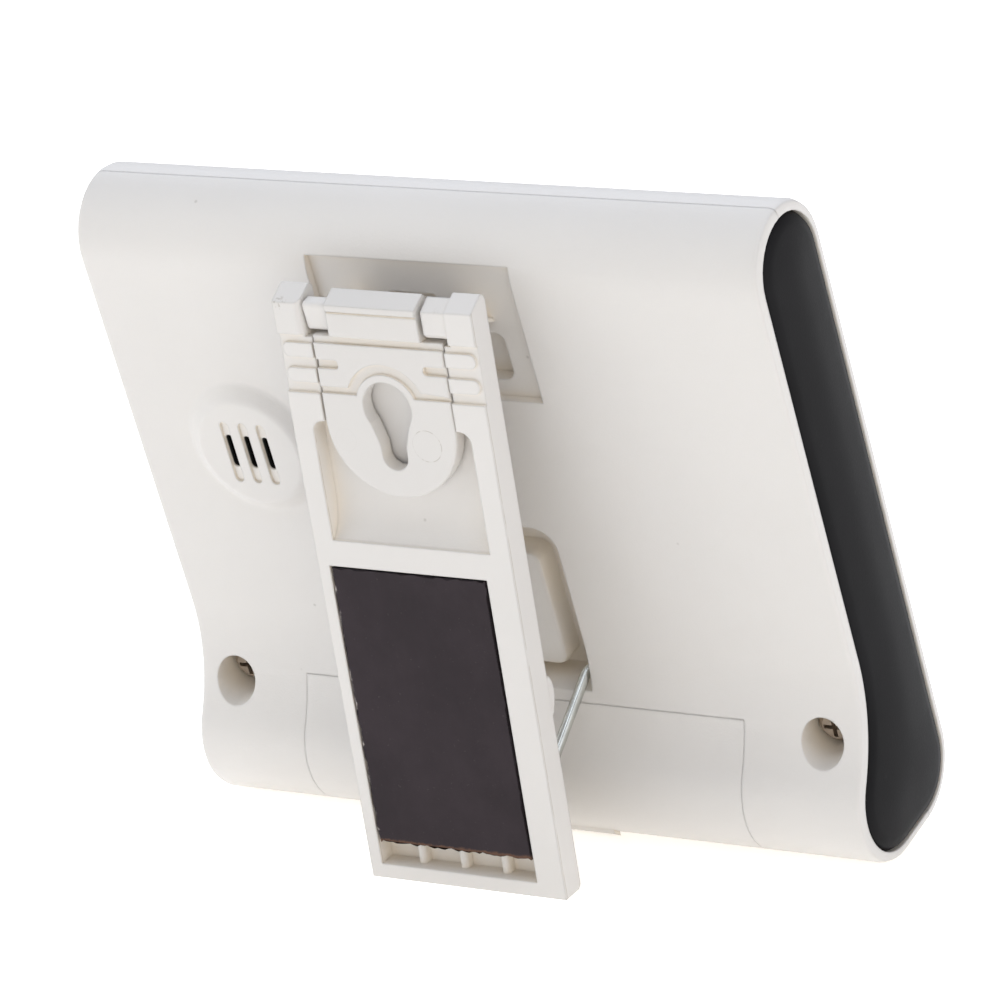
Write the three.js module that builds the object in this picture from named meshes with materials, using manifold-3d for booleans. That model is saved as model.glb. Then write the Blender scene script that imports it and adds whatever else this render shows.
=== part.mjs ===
// A digital kitchen timer with a fold-out stand on its back.
// Millimetres, +Z up, the display faces -Y, and the stand opens towards +Y.
// Every piece is drawn on the upright case, where Y is the distance behind the flat back and
// Z the height above the case's lowest line. The whole timer is then leaned back onto its stand.

import * as THREE from 'three';
import { mergeVertices } from 'three/addons/utils/BufferGeometryUtils.js';
import Module from 'manifold-3d';

const wasm = await Module();
wasm.setup();

// Case
const caseWidth = 86;
const caseHeight = 78.5;
const caseDepth = 14.4;
const footBulge = 6.15;
const footRadius = 7.9;
const toeRadius = 7.2;
const sweepRadius = 20.4;
const caseEdge = 0.8;
const wall = 1.8;
const endWall = 1.6;
const seam = 0.2;
const clearance = 0.3;
const lipDepth = 1.5;
const lipRoot = 2;
const lipThickness = 1;
const lipInset = 7;
const lipBelowTop = 8;

// Rubber end grips
const gripSeat = 1.7;
const gripRim = 1.2;
const gripCrown = 0.9;
const gripEdge = 1.5;
const gripPegRadius = 1.5;
const gripPegHeight = 22;
const gripPegReach = 0.6;
const gripPegBelowTop = 18.5;

// Battery door and battery
const doorTop = 18.05;
const doorWall = 1.5;
const doorMargin = 0.9;
const doorTongueWidth = 7;
const doorTongueInset = 8.4;
const doorTongueRoot = 3;
const doorTongueReach = 2.2;
const doorTongueSwing = 1.2;
const doorTongueRoom = 3.2;
const doorLatchWidth = 12;
const doorLatchHeight = 6;
const doorLatchThickness = 0.9;
const doorLatchReach = 0.5;
const doorLatchLift = 0.5;
const doorRidgeThickness = 1;
const doorRidgeWidth = 19;
const doorRidgeHeight = 0.4;
const doorRidgeBehind = 3.8;
const cellRadius = 5.15;
const cellLength = 43.6;
const cellNubRadius = 1.9;
const cellNubLength = 0.9;
const cellHeadroom = 0.1;
const bayWall = 1.2;
const bayStopReach = 3;
const cradleInset = 8.7;
const cradleDrop = 1;
const springLength = 3.4;
const springTurns = 4;
const springWire = 0.3;
const springSmallRadius = 2;
const springLargeRadius = 4;
const contactThickness = 0.4;
const contactReach = 3.5;

// Case screws
const caseScrewInset = 4.9;
const caseScrewHeight = 16.5;
const caseScrewRadius = 1.1;
const screwWellRadius = 2.6;
const screwWellDepth = 3;
const bossWall = 1.15;
const bossFloor = 0.6;
const screwTipGap = 1.2;
const screwHeadRadius = 2.1;
const screwHeadHeight = 1.4;
const screwCrossDepth = 0.9;
const screwCrossWidth = 0.5;

// Sound outlet and buzzer
const grilleInset = 16.1;
const grilleHeight = 47.9;
const grilleRadius = 8.7;
const grilleTopRadius = 6.2;
const grilleSteps = 6;
const chamberInset = 0.5;
const grilleRise = 1.3;
const grilleSkin = 1;
const grilleSlots = 3;
const grillePitch = 2.4;
const grilleSlotWidth = 1;
const grilleSlotLength = 4.2;
const grilleGrooveWidth = 1.1;
const grilleGrooveLength = 7.9;
const grilleGrooveDepth = 0.3;
const buzzerRadius = 9.8;
const buzzerThickness = 0.5;
const buzzerRingHeight = 0.7;
const buzzerRingWidth = 1.2;

// Front: window, display and buttons
const windowSideMargin = 11;
const windowTopMargin = 8;
const windowAboveButtons = 4;
const windowThickness = 1;
const windowLedge = 2.5;
const windowCorner = 3;
const windowSunk = 0.05;
const displayBorder = 2;
const displayThickness = 2;
const frameWall = 2.7;
const zebraInset = 2;
const zebraRise = 1;
const zebraThickness = 2;
const buttonNames = ['minute_button', 'second_button', 'start_stop_button'];
const buttonWidth = 16;
const buttonHeight = 9;
const buttonHeightAbove = 28;
const buttonProud = 0.9;
const buttonGap = 0.25;
const buttonFlange = 0.8;
const buttonEdge = 0.4;
const buttonTravel = 0.6;
const buttonStemRadius = 2;
const domeDepth = 2.9;
const domeTopRadius = 2.4;
const domeRadius = 3.6;
const matThickness = 0.8;
const matMargin = 1.5;
const matSide = 1;
const boardThickness = 1;
const boardGap = 1.7;
const boardBelowTop = 4.5;
const boardScrewInset = 2.5;
const boardScrewRadius = 0.9;
const boardScrewHead = 1.9;
const boardScrewRise = 1.1;
const chipRadius = 5;
const chipRise = 1.3;
const chipOffset = 8;
const chipAboveCentre = 8.6;
const solderGap = 0.1;

// Hinge on the back of the case
const hingeBehind = 6.05;
const hingeBelowTop = 7.3;
const openAngle = 10.3;
const closedAngle = 1.9;
const pinRadius = 0.9;
const pinClearance = 0.15;
const pinInset = 1;
const knuckleWidth = 2.9;
const knuckleFront = 1.45;
const knuckleTop = 1.5;
const knuckleBottom = 2;
const knuckleRound = 0.7;
const knuckleWall = 0.15;
const knuckleCorner = 0.5;
const mouthLip = 0.15;
const armBack = 1.55;
const armRootHigh = 6;
const armRootLow = 12;
const recessSide = 0.35;
const recessBelowTop = 4.9;
const recessBelowHinge = 14.4;
const recessDepth = 1;
const armWellHalf = 9.5;
const armWellTop = 6.4;
const armWellBottom = 12.3;
const armWellDepth = 1.6;
const recessCorner = 1.2;
const coreSlotHalf = 3;
const coreSlotOffset = 0.7;
const coreSlotTop = 1.9;
const coreSlotBottom = 4.3;
const coreSlotDepth = 1.2;

// Stand leaf: lengths down the leaf are measured from its top
const leafWidth = 25;
const leafTipHeight = 3.8;
const leafThickness = 3.2;
const leafFloor = 1;
const leafRail = 2.5;
const hingeDown = 2.6;
const hingeDepth = 1.9;
const plateTop = 5.3;
const hookRise = 1.35;
const hookRound = 0.8;
const hookCorner = 0.9;
const hookGap = 0.3;
const lidInset = 0.1;
const lidBottom = 1.9;
const lidChamfer = 0.5;
const bandTop = 5;
const bandDepth = 0.4;
const padTops = [5.95, 8.85];
const padHeight = 1.65;
const padInset = 0.4;
const padRound = 0.7;
const padDrop = 0.08;
const grooveTop = 10.8;
const grooveBottom = 11.7;
const scoopTop = 14.9;
const scoopCorner = 1.4;
const scoopTurn = 27.5;
const scoopBottom = 29;
const catchAboveWire = 10.5;
const catchHeight = 4.4;
const catchProud = 1.8;
const catchInset = 0.8;
const catchHalf = 0.7;

// Hanging tab
const barWidth = 11.2;
const barProud = 0.35;
const barCrest = 1.3;
const barGroove = 2.05;
const barBottom = 4.95;
const barTopStart = 1.8;
const barTopRise = 0.15;
const barDepth = 2.9;
const tabWidth = 16.1;
const tabLength = 23.1;
const tabThickness = 1.9;
const tabGap = 0.3;
const tabTop = 5.1;
const tabFaceTop = 5.9;
const tabSunk = 0.05;
const tabEdge = 0.2;
const tabNotchTop = 7.7;
const tabNotchLength = 2.85;
const tabNotchWidth = 1.15;
const tabNotchDepth = 0.5;
const keyholeCentre = 12.9;
const keyholeRadius = 3.05;
const keyholeSlotRadius = 1.6;
const keyholeSlotEnd = 18.4;
const keyholeFlank = 1.85;
const keyholeNeck = 17.3;
const archRadius = 3.75;
const archWidth = 1.3;

// Magnet in its bay
const magnetTop = 32.3;
const magnetThickness = 0.9;
const magnetShort = 2.9;
const bayLeftWall = 3.65;
const bayRightWall = 1.65;
const bayEnd = 1.5;
const magnetBayDepth = 2.3;
const bayRibs = 3;
const bayRibPitch = 5.4;
const bayRibWidth = 1.1;

// Wire and the pocket that its ends work in
const wireRadius = 0.6;
const wireAboveTip = 10.3;
const wireDepth = 4.3;
const wireLegOffset = 8.45;
const wireTipReach = 2.2;
const wireSeatBehind = -1.2;
const wireSeatHeight = 21.43;
const wireSlotDepth = 3.2;
const wireKnuckleOffset = 6.3;
const wireKnuckleWidth = 2.4;
const wireKnuckleWall = 0.8;
const pocketHalfWidth = 9.35;
const pocketBottom = 19.3;
const pocketTop = 40.2;
const pocketDepth = 4.2;
const pocketCorner = 3;
const plateauHalfWidth = 5.7;
const plateauBottom = 20.8;
const plateauTop = 35.8;
const plateauDepth = 1.2;
const plateauCorner = 1.4;
const plateauEdge = 0.6;

// Places worked out from the sizes above
const halfWidth = caseWidth / 2;
const halfLeaf = leafWidth / 2;
const seamPlane = -caseDepth / 2;
const frontPlane = -caseDepth;
const innerFront = frontPlane + wall;
const topCentre = { y: seamPlane, z: caseHeight - caseDepth / 2 };
const footCentre = { y: footBulge - footRadius, z: footRadius };
const toeCentre = { y: frontPlane + toeRadius, z: toeRadius };
const sweepReach = sweepRadius + footRadius;
const sweepCentre = {
  y: sweepRadius,
  z: footRadius + Math.sqrt(sweepReach ** 2 - (sweepRadius - footCentre.y) ** 2),
};
const hollowHalf = halfWidth - gripSeat - endWall;
const gripPegHeights = [gripPegHeight, caseHeight - gripPegBelowTop];
const screwBossRadius = screwWellRadius + bossWall;
const springEnd = cellLength / 2 + springLength + contactThickness + 2 * clearance;
const nubEnd = cellLength / 2 + cellNubLength + contactThickness + 2 * clearance;
const doorHalf = springEnd + bayWall + doorMargin;
const doorTongueOffset = doorHalf - doorTongueInset;
const cellAxis = {
  y: footBulge - doorWall - clearance - cellRadius - cellHeadroom,
  z: footRadius + clearance,
};
const bayFloor = cellAxis.y - cellRadius - clearance;
const bayLow = wall + doorLatchLift + doorLatchThickness + clearance;
const boardBack = seamPlane + clearance;
const boardFront = boardBack - boardThickness;
const boardHalf = hollowHalf - boardGap;
const boardTop = caseHeight - boardBelowTop;
const boardBottom = caseScrewHeight + screwBossRadius + 2 * clearance;
const boardCentre = (boardBottom + boardTop) / 2;
const boardScrewHeights = [boardBottom + boardScrewInset, boardTop - boardScrewInset];
const windowWidth = caseWidth - 2 * windowSideMargin;
const windowBottom = buttonHeightAbove + buttonHeight / 2 + windowAboveButtons;
const windowHeight = caseHeight - windowTopMargin - windowBottom;
const windowCentre = windowBottom + windowHeight / 2;
const displayWidth = windowWidth - 2 * displayBorder;
const displayHeight = windowHeight - 2 * displayBorder;
const buttonPitch = (windowWidth - buttonWidth) / (buttonNames.length - 1);
const buttonCentres = buttonNames.map((_, index) => (buttonWidth - windowWidth) / 2 + index * buttonPitch);
const domeFront = innerFront + clearance + domeDepth;
const grilleOffset = halfWidth - grilleInset;
const buzzerRingRadius = buzzerRadius - clearance;
const hingeHeight = caseHeight - hingeBelowTop;
const recessHalf = halfLeaf + recessSide;
const recessTop = caseHeight - recessBelowTop;
const recessBottom = hingeHeight - recessBelowHinge;
const armRoot = -recessDepth - armWellDepth - seam;
const recessBack = -recessDepth - armWellDepth - bayWall;
const leafLength = hingeHeight + hingeDown - leafTipHeight;
const hookInner = barWidth / 2 + clearance + knuckleWidth + hookGap;
const magnetBayLength = leafLength - magnetTop - bayEnd;
const magnetLength = magnetBayLength - magnetShort;
const magnetLeft = -halfLeaf + bayLeftWall;
const magnetRight = halfLeaf - bayRightWall;
const wireDown = leafLength - wireAboveTip;
const wireTipOffset = wireLegOffset + wireTipReach;
const far = 200;

const plastic = (color, roughness) => new THREE.MeshStandardMaterial({ color, roughness, metalness: 0 });
const metal = (color, roughness) => new THREE.MeshStandardMaterial({ color, roughness, metalness: 1 });
const finishes = {
  shell: plastic(0xe6e3e0, 0.42),
  grip: plastic(0x29282b, 0.6),
  magnet: plastic(0x3a3335, 0.75),
  wire: metal(0xb9bfb8, 0.25),
  steel: metal(0x9a9c9c, 0.35),
  lens: plastic(0xdfe6e8, 0.05),
  glass: plastic(0x9aa58c, 0.2),
  board: plastic(0x2f6b3a, 0.5),
  silicone: plastic(0xb9bdc2, 0.7),
  carbon: plastic(0x3c3c3e, 0.7),
  button: plastic(0x55585c, 0.5),
  brass: metal(0xc7a35a, 0.35),
  cell: plastic(0x4a5a78, 0.35),
};

// Solids

function solid(geometry) {
  const bare = geometry.clone();
  bare.deleteAttribute('normal');
  bare.deleteAttribute('uv');
  const welded = mergeVertices(bare, 1e-4);
  return new wasm.Manifold(new wasm.Mesh({
    numProp: 3,
    vertProperties: new Float32Array(welded.attributes.position.array),
    triVerts: new Uint32Array(welded.index.array),
  }));
}

function join(first, ...others) {
  return others.reduce((sum, other) => sum.add(other), first);
}

function cut(body, ...tools) {
  return tools.reduce((rest, tool) => rest.subtract(tool), body);
}

function box(x0, x1, y0, y1, z0, z1) {
  const geometry = new THREE.BoxGeometry(x1 - x0, y1 - y0, z1 - z0);
  return solid(geometry.translate((x0 + x1) / 2, (y0 + y1) / 2, (z0 + z1) / 2));
}

// The outline as points, without the doubled ones where two arcs meet.
function pointsOf(outline, segments) {
  const points = outline.getPoints(segments);
  const kept = points.filter((point, index) => (
    point.distanceTo(points[(index + 1) % points.length]) > 0.002
  ));
  return new THREE.Shape(kept);
}

function extruded(outline, depth, segments, edge, rings) {
  return new THREE.ExtrudeGeometry(pointsOf(outline, segments), {
    depth: depth - 2 * edge,
    bevelEnabled: edge > 0,
    bevelThickness: edge,
    bevelSize: edge,
    bevelOffset: -edge,
    bevelSegments: rings,
  });
}

// A profile drawn in Y and Z, run along X; an edge rounds both ends.
function alongX(profile, x0, x1, { edge = 0, segments = 10 } = {}) {
  const geometry = extruded(profile, x1 - x0, segments, edge, 2);
  const turn = new THREE.Matrix4().makeBasis(
    new THREE.Vector3(0, 1, 0),
    new THREE.Vector3(0, 0, 1),
    new THREE.Vector3(1, 0, 0),
  );
  return solid(geometry.applyMatrix4(turn).translate(x0 + edge, 0, 0));
}

// An outline drawn in X and Z, run along Y; an edge rounds both faces.
function alongY(outline, y0, y1, { edge = 0, segments = 6 } = {}) {
  const geometry = extruded(outline, y1 - y0, segments, edge, 2);
  return solid(geometry.rotateX(Math.PI / 2).translate(0, y1 - edge, 0));
}

// An outline drawn in X and Y, run along Z.
function alongZ(outline, z0, z1, { segments = 6 } = {}) {
  return solid(extruded(outline, z1 - z0, segments, 0, 0).translate(0, 0, z0));
}

function roundedRectangle(x0, x1, z0, z1, radius) {
  const shape = new THREE.Shape();
  shape.absarc(x1 - radius, z0 + radius, radius, -Math.PI / 2, 0, false);
  shape.absarc(x1 - radius, z1 - radius, radius, 0, Math.PI / 2, false);
  shape.absarc(x0 + radius, z1 - radius, radius, Math.PI / 2, Math.PI, false);
  shape.absarc(x0 + radius, z0 + radius, radius, Math.PI, Math.PI * 1.5, false);
  return shape;
}

// A slot with full round ends, long in either direction.
function slotOutline(x, z, width, height) {
  const shape = new THREE.Shape();
  const radius = Math.min(width, height) / 2;
  const spread = Math.max(width, height) / 2 - radius;
  if (width > height) {
    shape.absarc(x + spread, z, radius, -Math.PI / 2, Math.PI / 2, false);
    shape.absarc(x - spread, z, radius, Math.PI / 2, Math.PI * 1.5, false);
  } else {
    shape.absarc(x, z + spread, radius, 0, Math.PI, false);
    shape.absarc(x, z - spread, radius, Math.PI, Math.PI * 2, false);
  }
  return shape;
}

function rodX(x0, x1, y, z, radius, sides = 20) {
  const geometry = new THREE.CylinderGeometry(radius, radius, x1 - x0, sides);
  return solid(geometry.rotateZ(Math.PI / 2).translate((x0 + x1) / 2, y, z));
}

function postY(x, z, radius, y0, y1, sides = 20) {
  const geometry = new THREE.CylinderGeometry(radius, radius, y1 - y0, sides);
  return solid(geometry.translate(x, (y0 + y1) / 2, z));
}

// A turned piece whose profile is a list of [radius, y] from its low end to its high end.
function turned(x, z, profile, sides = 24) {
  const points = profile.map(([radius, y]) => new THREE.Vector2(radius, y));
  return solid(new THREE.LatheGeometry(points, sides).translate(x, 0, z));
}

function rodBetween(from, to, radius, sides = 8) {
  const span = new THREE.Vector3().subVectors(to, from);
  const geometry = new THREE.CylinderGeometry(radius, radius, span.length(), sides);
  const up = new THREE.Vector3(0, 1, 0);
  geometry.applyQuaternion(new THREE.Quaternion().setFromUnitVectors(up, span.clone().normalize()));
  const middle = new THREE.Vector3().addVectors(from, to).multiplyScalar(0.5);
  return solid(geometry.translate(middle.x, middle.y, middle.z));
}

function piece(name, body, material) {
  const mesh = body.getMesh();
  const geometry = new THREE.BufferGeometry();
  geometry.setAttribute('position', new THREE.BufferAttribute(mesh.vertProperties, mesh.numProp));
  geometry.setIndex(new THREE.BufferAttribute(mesh.triVerts, 1));
  geometry.computeVertexNormals();
  const node = new THREE.Mesh(geometry, material);
  node.name = name;
  return node;
}

// Case

// The end view of the case, drawn inwards by an inset: a full round top, a flat back that
// sweeps out into a foot, and a rounded toe under the flat front.
function caseProfile(inset) {
  const meet = Math.atan2(sweepCentre.z - footCentre.z, sweepCentre.y - footCentre.y);
  const profile = new THREE.Shape();
  profile.absarc(topCentre.y, topCentre.z, caseDepth / 2 - inset, 0, Math.PI, false);
  profile.absarc(toeCentre.y, toeCentre.z, toeRadius - inset, Math.PI, Math.PI * 1.5, false);
  profile.absarc(footCentre.y, footCentre.z, footRadius - inset, Math.PI * 1.5, Math.PI * 2 + meet, false);
  profile.absarc(sweepCentre.y, sweepCentre.z, sweepRadius + inset, Math.PI + meet, Math.PI, true);
  return profile;
}

function caseBand(outer, inner, x0, x1) {
  return cut(alongX(caseProfile(outer), x0, x1), alongX(caseProfile(inner), x0 - 1, x1 + 1));
}

function caseSkin() {
  const block = alongX(caseProfile(0), -halfWidth, halfWidth, { edge: caseEdge });
  const hollow = alongX(caseProfile(wall), -hollowHalf, hollowHalf);
  const seat = halfWidth - gripSeat;
  const rightSeat = alongX(caseProfile(gripRim), seat, halfWidth + 1);
  const leftSeat = alongX(caseProfile(gripRim), -halfWidth - 1, -seat);
  const pegHoles = gripPegHeights.map((height) => (
    rodX(-halfWidth - 1, halfWidth + 1, seamPlane, height, gripPegRadius + clearance, 12)
  ));
  return cut(block, hollow, rightSeat, leftSeat, ...pegHoles);
}

const skin = caseSkin();

// Room for bosses: they end within the skin and the end walls.
function insideOfCase() {
  const reach = hollowHalf + endWall / 2;
  return alongX(caseProfile(wall / 2), -reach, reach);
}

function screwPlaces() {
  return [-halfWidth + caseScrewInset, halfWidth - caseScrewInset];
}

function boardScrewPlaces() {
  return [-1, 1].flatMap((side) => (
    boardScrewHeights.map((height) => ({ x: side * (boardHalf - boardScrewInset), z: height }))
  ));
}

function windowOutline(grow) {
  const halfW = windowWidth / 2 + grow;
  const halfH = windowHeight / 2 + grow;
  const corner = Math.max(windowCorner + grow, windowCorner / 2);
  return roundedRectangle(-halfW, halfW, windowCentre - halfH, windowCentre + halfH, corner);
}

function windowOpenings() {
  return [
    alongY(windowOutline(seam), frontPlane - 1, frontPlane + windowThickness + seam),
    alongY(windowOutline(-windowLedge), frontPlane - 1, innerFront + 1),
  ];
}

function buttonOutline(centre, grow) {
  return slotOutline(centre, buttonHeightAbove, buttonWidth + 2 * grow, buttonHeight + 2 * grow);
}

function frontShell() {
  const half = skin.intersect(box(-far, far, -far, seamPlane - seam / 2, -far, far));
  const screwHole = caseScrewRadius + pinClearance;
  const screwBosses = screwPlaces().map((x) => (
    postY(x, caseScrewHeight, screwHole + bossWall, frontPlane + wall / 2, seamPlane - seam / 2, 16)
  ));
  const boardBosses = boardScrewPlaces().map(({ x, z }) => (
    postY(x, z, boardScrewRadius + bossWall, frontPlane + wall / 2, boardFront - seam, 12)
  ));
  const screwHoles = screwPlaces().map((x) => (
    postY(x, caseScrewHeight, screwHole, innerFront + bossFloor, seamPlane, 12)
  ));
  const boardHoles = boardScrewPlaces().map(({ x, z }) => (
    postY(x, z, boardScrewRadius + pinClearance, innerFront + bossFloor, boardFront, 8)
  ));
  const buttonHoles = buttonCentres.map((centre) => (
    alongY(buttonOutline(centre, buttonGap), frontPlane - 1, innerFront + 1)
  ));
  const bosses = join(...screwBosses, ...boardBosses).intersect(insideOfCase());
  return cut(join(half, bosses), ...screwHoles, ...boardHoles, ...buttonHoles, ...windowOpenings());
}

// The open room behind the battery door: floor, roof, ends, two stops and two cradles.
function batteryBay() {
  const side = doorHalf + seam;
  const bayTop = doorTop + seam + bayWall;
  const back = bayFloor - bayWall;
  const inner = alongX(caseProfile(doorWall + clearance), -side, side);
  const floor = box(-side - bayWall, side + bayWall, back, bayFloor, bayLow, bayTop);
  const roof = box(-side - bayWall, side + bayWall, back, far, doorTop + seam, bayTop);
  const ends = [[-side - bayWall, -side], [side, side + bayWall]].flatMap(([x0, x1]) => [
    box(x0, x1, seamPlane + seam / 2, far, 0, bayTop),
    box(x0, x1, back, 0, bayLow, bayTop),
  ]);
  const stops = [[nubEnd, nubEnd + bayWall], [-springEnd - bayWall, -springEnd]].map(([x0, x1]) => (
    box(x0, x1, back, bayStopReach, bayLow, bayTop).intersect(inner)
  ));
  const cellRoom = rodX(-far, far, cellAxis.y, cellAxis.z, cellRadius + clearance, 28);
  const cradles = [-1, 1].map((way) => {
    const x = way * (cellLength / 2 - cradleInset);
    const rib = box(x - bayWall / 2, x + bayWall / 2, back, cellAxis.y - cradleDrop, bayLow, bayTop);
    return cut(rib.intersect(inner), cellRoom);
  });
  const shell = join(roof, ...ends).intersect(insideOfCase());
  return [floor, shell, ...stops, ...cradles];
}

function doorHole() {
  const side = doorHalf + seam;
  return box(-side, side, seamPlane, far, -1, doorTop);
}

function tonguePlaces() {
  return [-1, 1].map((way) => way * doorTongueOffset);
}

function tongueRoom() {
  const half = doorTongueWidth / 2 + clearance;
  const low = doorTop - doorTongueRoot - doorTongueSwing;
  const high = doorTop + doorTongueReach + clearance;
  return tonguePlaces().map((x) => (
    caseBand(wall - 0.01, wall + doorTongueRoom, x - half, x + half)
      .intersect(box(-far, far, seamPlane, far, low, high))
  ));
}

// A soft shoulder lifts the sound outlet's level top off the flat back.
function soundOutlet() {
  const shoulder = Array.from({ length: grilleSteps + 1 }, (_, index) => {
    const part = index / grilleSteps;
    const radius = grilleRadius + (grilleTopRadius - grilleRadius) * part;
    return [radius, (grilleRise * (1 - Math.cos(Math.PI * part))) / 2];
  });
  const boss = turned(grilleOffset, grilleHeight, [
    [0, -wall / 2], [grilleRadius, -wall / 2], ...shoulder, [0, grilleRise],
  ], 40);
  const seat = -wall - buzzerRingHeight;
  const ringOuter = postY(grilleOffset, grilleHeight, buzzerRingRadius, seat, -wall / 2, 32);
  const ringInner = postY(
    grilleOffset, grilleHeight, buzzerRingRadius - buzzerRingWidth, seat - 1, -wall, 32,
  );
  return { boss, ring: cut(ringOuter, ringInner) };
}

// Behind the outlet's skin lies an open chamber, and three slots in shallow grooves lead to it.
function soundHoles() {
  const chamber = postY(
    grilleOffset, grilleHeight, grilleTopRadius - chamberInset, -wall - 1, grilleRise - grilleSkin, 32,
  );
  const first = -(grilleSlots - 1) / 2;
  const slots = Array.from({ length: grilleSlots }, (_, index) => {
    const x = grilleOffset + (first + index) * grillePitch;
    const slot = slotOutline(x, grilleHeight, grilleSlotWidth, grilleSlotLength);
    const groove = slotOutline(x, grilleHeight, grilleGrooveWidth, grilleGrooveLength);
    return [
      alongY(slot, -wall, grilleRise + 1, { segments: 3 }),
      alongY(groove, grilleRise - grilleGrooveDepth, grilleRise + 1, { segments: 3 }),
    ];
  });
  return [chamber, ...slots.flat()];
}

function wirePivot(angle) {
  const lean = THREE.MathUtils.degToRad(angle);
  const along = wireDown - hingeDown;
  const inward = wireDepth - hingeDepth;
  return {
    y: hingeBehind + along * Math.sin(lean) - inward * Math.cos(lean),
    z: hingeHeight - along * Math.cos(lean) - inward * Math.sin(lean),
  };
}

// The height that the wire's upper ends climb to in their slots when the stand is folded.
function wireTravelTop() {
  const pivot = wirePivot(openAngle);
  const folded = wirePivot(closedAngle);
  const reach = Math.hypot(pivot.y - wireSeatBehind, pivot.z - wireSeatHeight);
  return folded.z + Math.sqrt(reach ** 2 - (folded.y - wireSeatBehind) ** 2);
}

function standPocket() {
  const slotEnd = wireTipOffset + clearance;
  const block = box(
    -slotEnd - bayWall, slotEnd + bayWall, -pocketDepth - bayWall, -wall / 2,
    pocketBottom - bayWall, pocketTop + bayWall,
  );
  const mouth = new THREE.Shape();
  const cornerX = pocketHalfWidth - pocketCorner;
  mouth.moveTo(-pocketHalfWidth, pocketBottom);
  mouth.lineTo(pocketHalfWidth, pocketBottom);
  mouth.absarc(cornerX, pocketTop - pocketCorner, pocketCorner, 0, Math.PI / 2, false);
  mouth.absarc(-cornerX, pocketTop - pocketCorner, pocketCorner, Math.PI / 2, Math.PI, false);
  const plateau = roundedRectangle(
    -plateauHalfWidth, plateauHalfWidth, plateauBottom, plateauTop, plateauCorner,
  );
  const raised = alongY(plateau, -far, -plateauDepth, { edge: plateauEdge, segments: 4 });
  const low = wireSeatHeight - wireRadius - clearance;
  const high = wireTravelTop() + wireRadius + clearance;
  const surface = wireSeatBehind + wireRadius + pinClearance;
  const inner = pocketHalfWidth - seam;
  const slots = [[-slotEnd, -inner], [inner, slotEnd]].map(([x0, x1]) => (
    box(x0, x1, -wireSlotDepth, surface, low, high)
  ));
  return { block, holes: [cut(alongY(mouth, -pocketDepth, far, { segments: 8 }), raised), ...slots] };
}

// The shallow recess about the hinge, with two blind wells in its floor.
function hingeRecess() {
  const backing = box(
    -recessHalf - bayWall, recessHalf + bayWall, recessBack, -wall / 2,
    recessBottom - bayWall, recessTop + bayWall,
  ).intersect(insideOfCase());
  const armWell = roundedRectangle(
    -armWellHalf, armWellHalf, hingeHeight - armWellBottom, hingeHeight - armWellTop, recessCorner,
  );
  const coreSlot = roundedRectangle(
    coreSlotOffset - coreSlotHalf, coreSlotOffset + coreSlotHalf,
    hingeHeight - coreSlotBottom, hingeHeight - coreSlotTop, recessCorner / 3,
  );
  return {
    backing,
    holes: [
      box(-recessHalf, recessHalf, -recessDepth, far, recessBottom, recessTop),
      alongY(armWell, -recessDepth - armWellDepth, far),
      alongY(coreSlot, -recessDepth - coreSlotDepth, far, { segments: 3 }),
    ],
  };
}

// Two arms rise from the recess and carry the hinge pin. The wide one fills its gap in the
// stand; the other is round, to turn under the stand's lid.
function hingeArms() {
  const inner = barWidth / 2 + clearance;
  const outer = inner + knuckleWidth;
  const low = hingeHeight - armRootLow;
  const high = hingeHeight - armRootHigh;
  const front = hingeBehind + knuckleFront;
  const bottom = hingeHeight - knuckleBottom;
  const top = hingeHeight + knuckleTop;
  const wide = new THREE.Shape();
  wide.moveTo(armRoot, low);
  wide.lineTo(hingeBehind - armBack, bottom);
  wide.absarc(front - knuckleRound, bottom + knuckleRound, knuckleRound, -Math.PI / 2, 0, false);
  wide.absarc(front - knuckleCorner, top - knuckleCorner, knuckleCorner, 0, Math.PI / 2, false);
  wide.lineTo(hingeBehind, top);
  wide.lineTo(armRoot, high);
  const round = new THREE.Shape();
  round.moveTo(armRoot, low);
  round.absarc(hingeBehind, hingeHeight, pinRadius + knuckleWall, -Math.PI / 2, Math.PI / 2, false);
  round.lineTo(armRoot, high);
  const pinEnd = halfLeaf - pinInset;
  return [
    alongX(wide, inner, outer, { segments: 5 }),
    alongX(round, -outer, -inner, { segments: 8 }),
    rodX(-pinEnd, pinEnd, hingeBehind, hingeHeight, pinRadius),
  ];
}

function shellLip() {
  const side = halfWidth - lipInset;
  const slab = (y0, y1) => box(-far, far, y0, y1, caseHeight - lipBelowTop, far);
  const low = caseBand(wall - clearance, wall + lipThickness, -side, side)
    .intersect(slab(seamPlane + seam / 2, seamPlane + lipRoot));
  const high = caseBand(wall + seam, wall + lipThickness, -side, side)
    .intersect(slab(seamPlane - lipDepth, seamPlane + lipRoot / 2));
  return join(low, high);
}

function screwWells() {
  return screwPlaces().flatMap((x) => [
    postY(x, caseScrewHeight, screwWellRadius, -screwWellDepth, far, 32),
    postY(x, caseScrewHeight, caseScrewRadius + pinClearance, seamPlane - 1, far, 12),
  ]);
}

function rearShell() {
  const half = skin.intersect(box(-far, far, seamPlane + seam / 2, far, -far, far));
  const pocket = standPocket();
  const recess = hingeRecess();
  const outlet = soundOutlet();
  const bosses = screwPlaces().map((x) => (
    postY(x, caseScrewHeight, screwBossRadius, seamPlane + seam / 2, far, 24).intersect(insideOfCase())
  ));
  const holes = [...pocket.holes, ...recess.holes, ...screwWells(), ...soundHoles()];
  const built = join(
    half, ...bosses, pocket.block, recess.backing, outlet.boss, outlet.ring, shellLip(),
  );
  const opened = cut(built, doorHole(), ...holes);
  const bay = cut(join(...batteryBay()), ...pocket.holes, ...screwWells());
  return cut(join(opened, bay, ...hingeArms()), ...tongueRoom());
}

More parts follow.
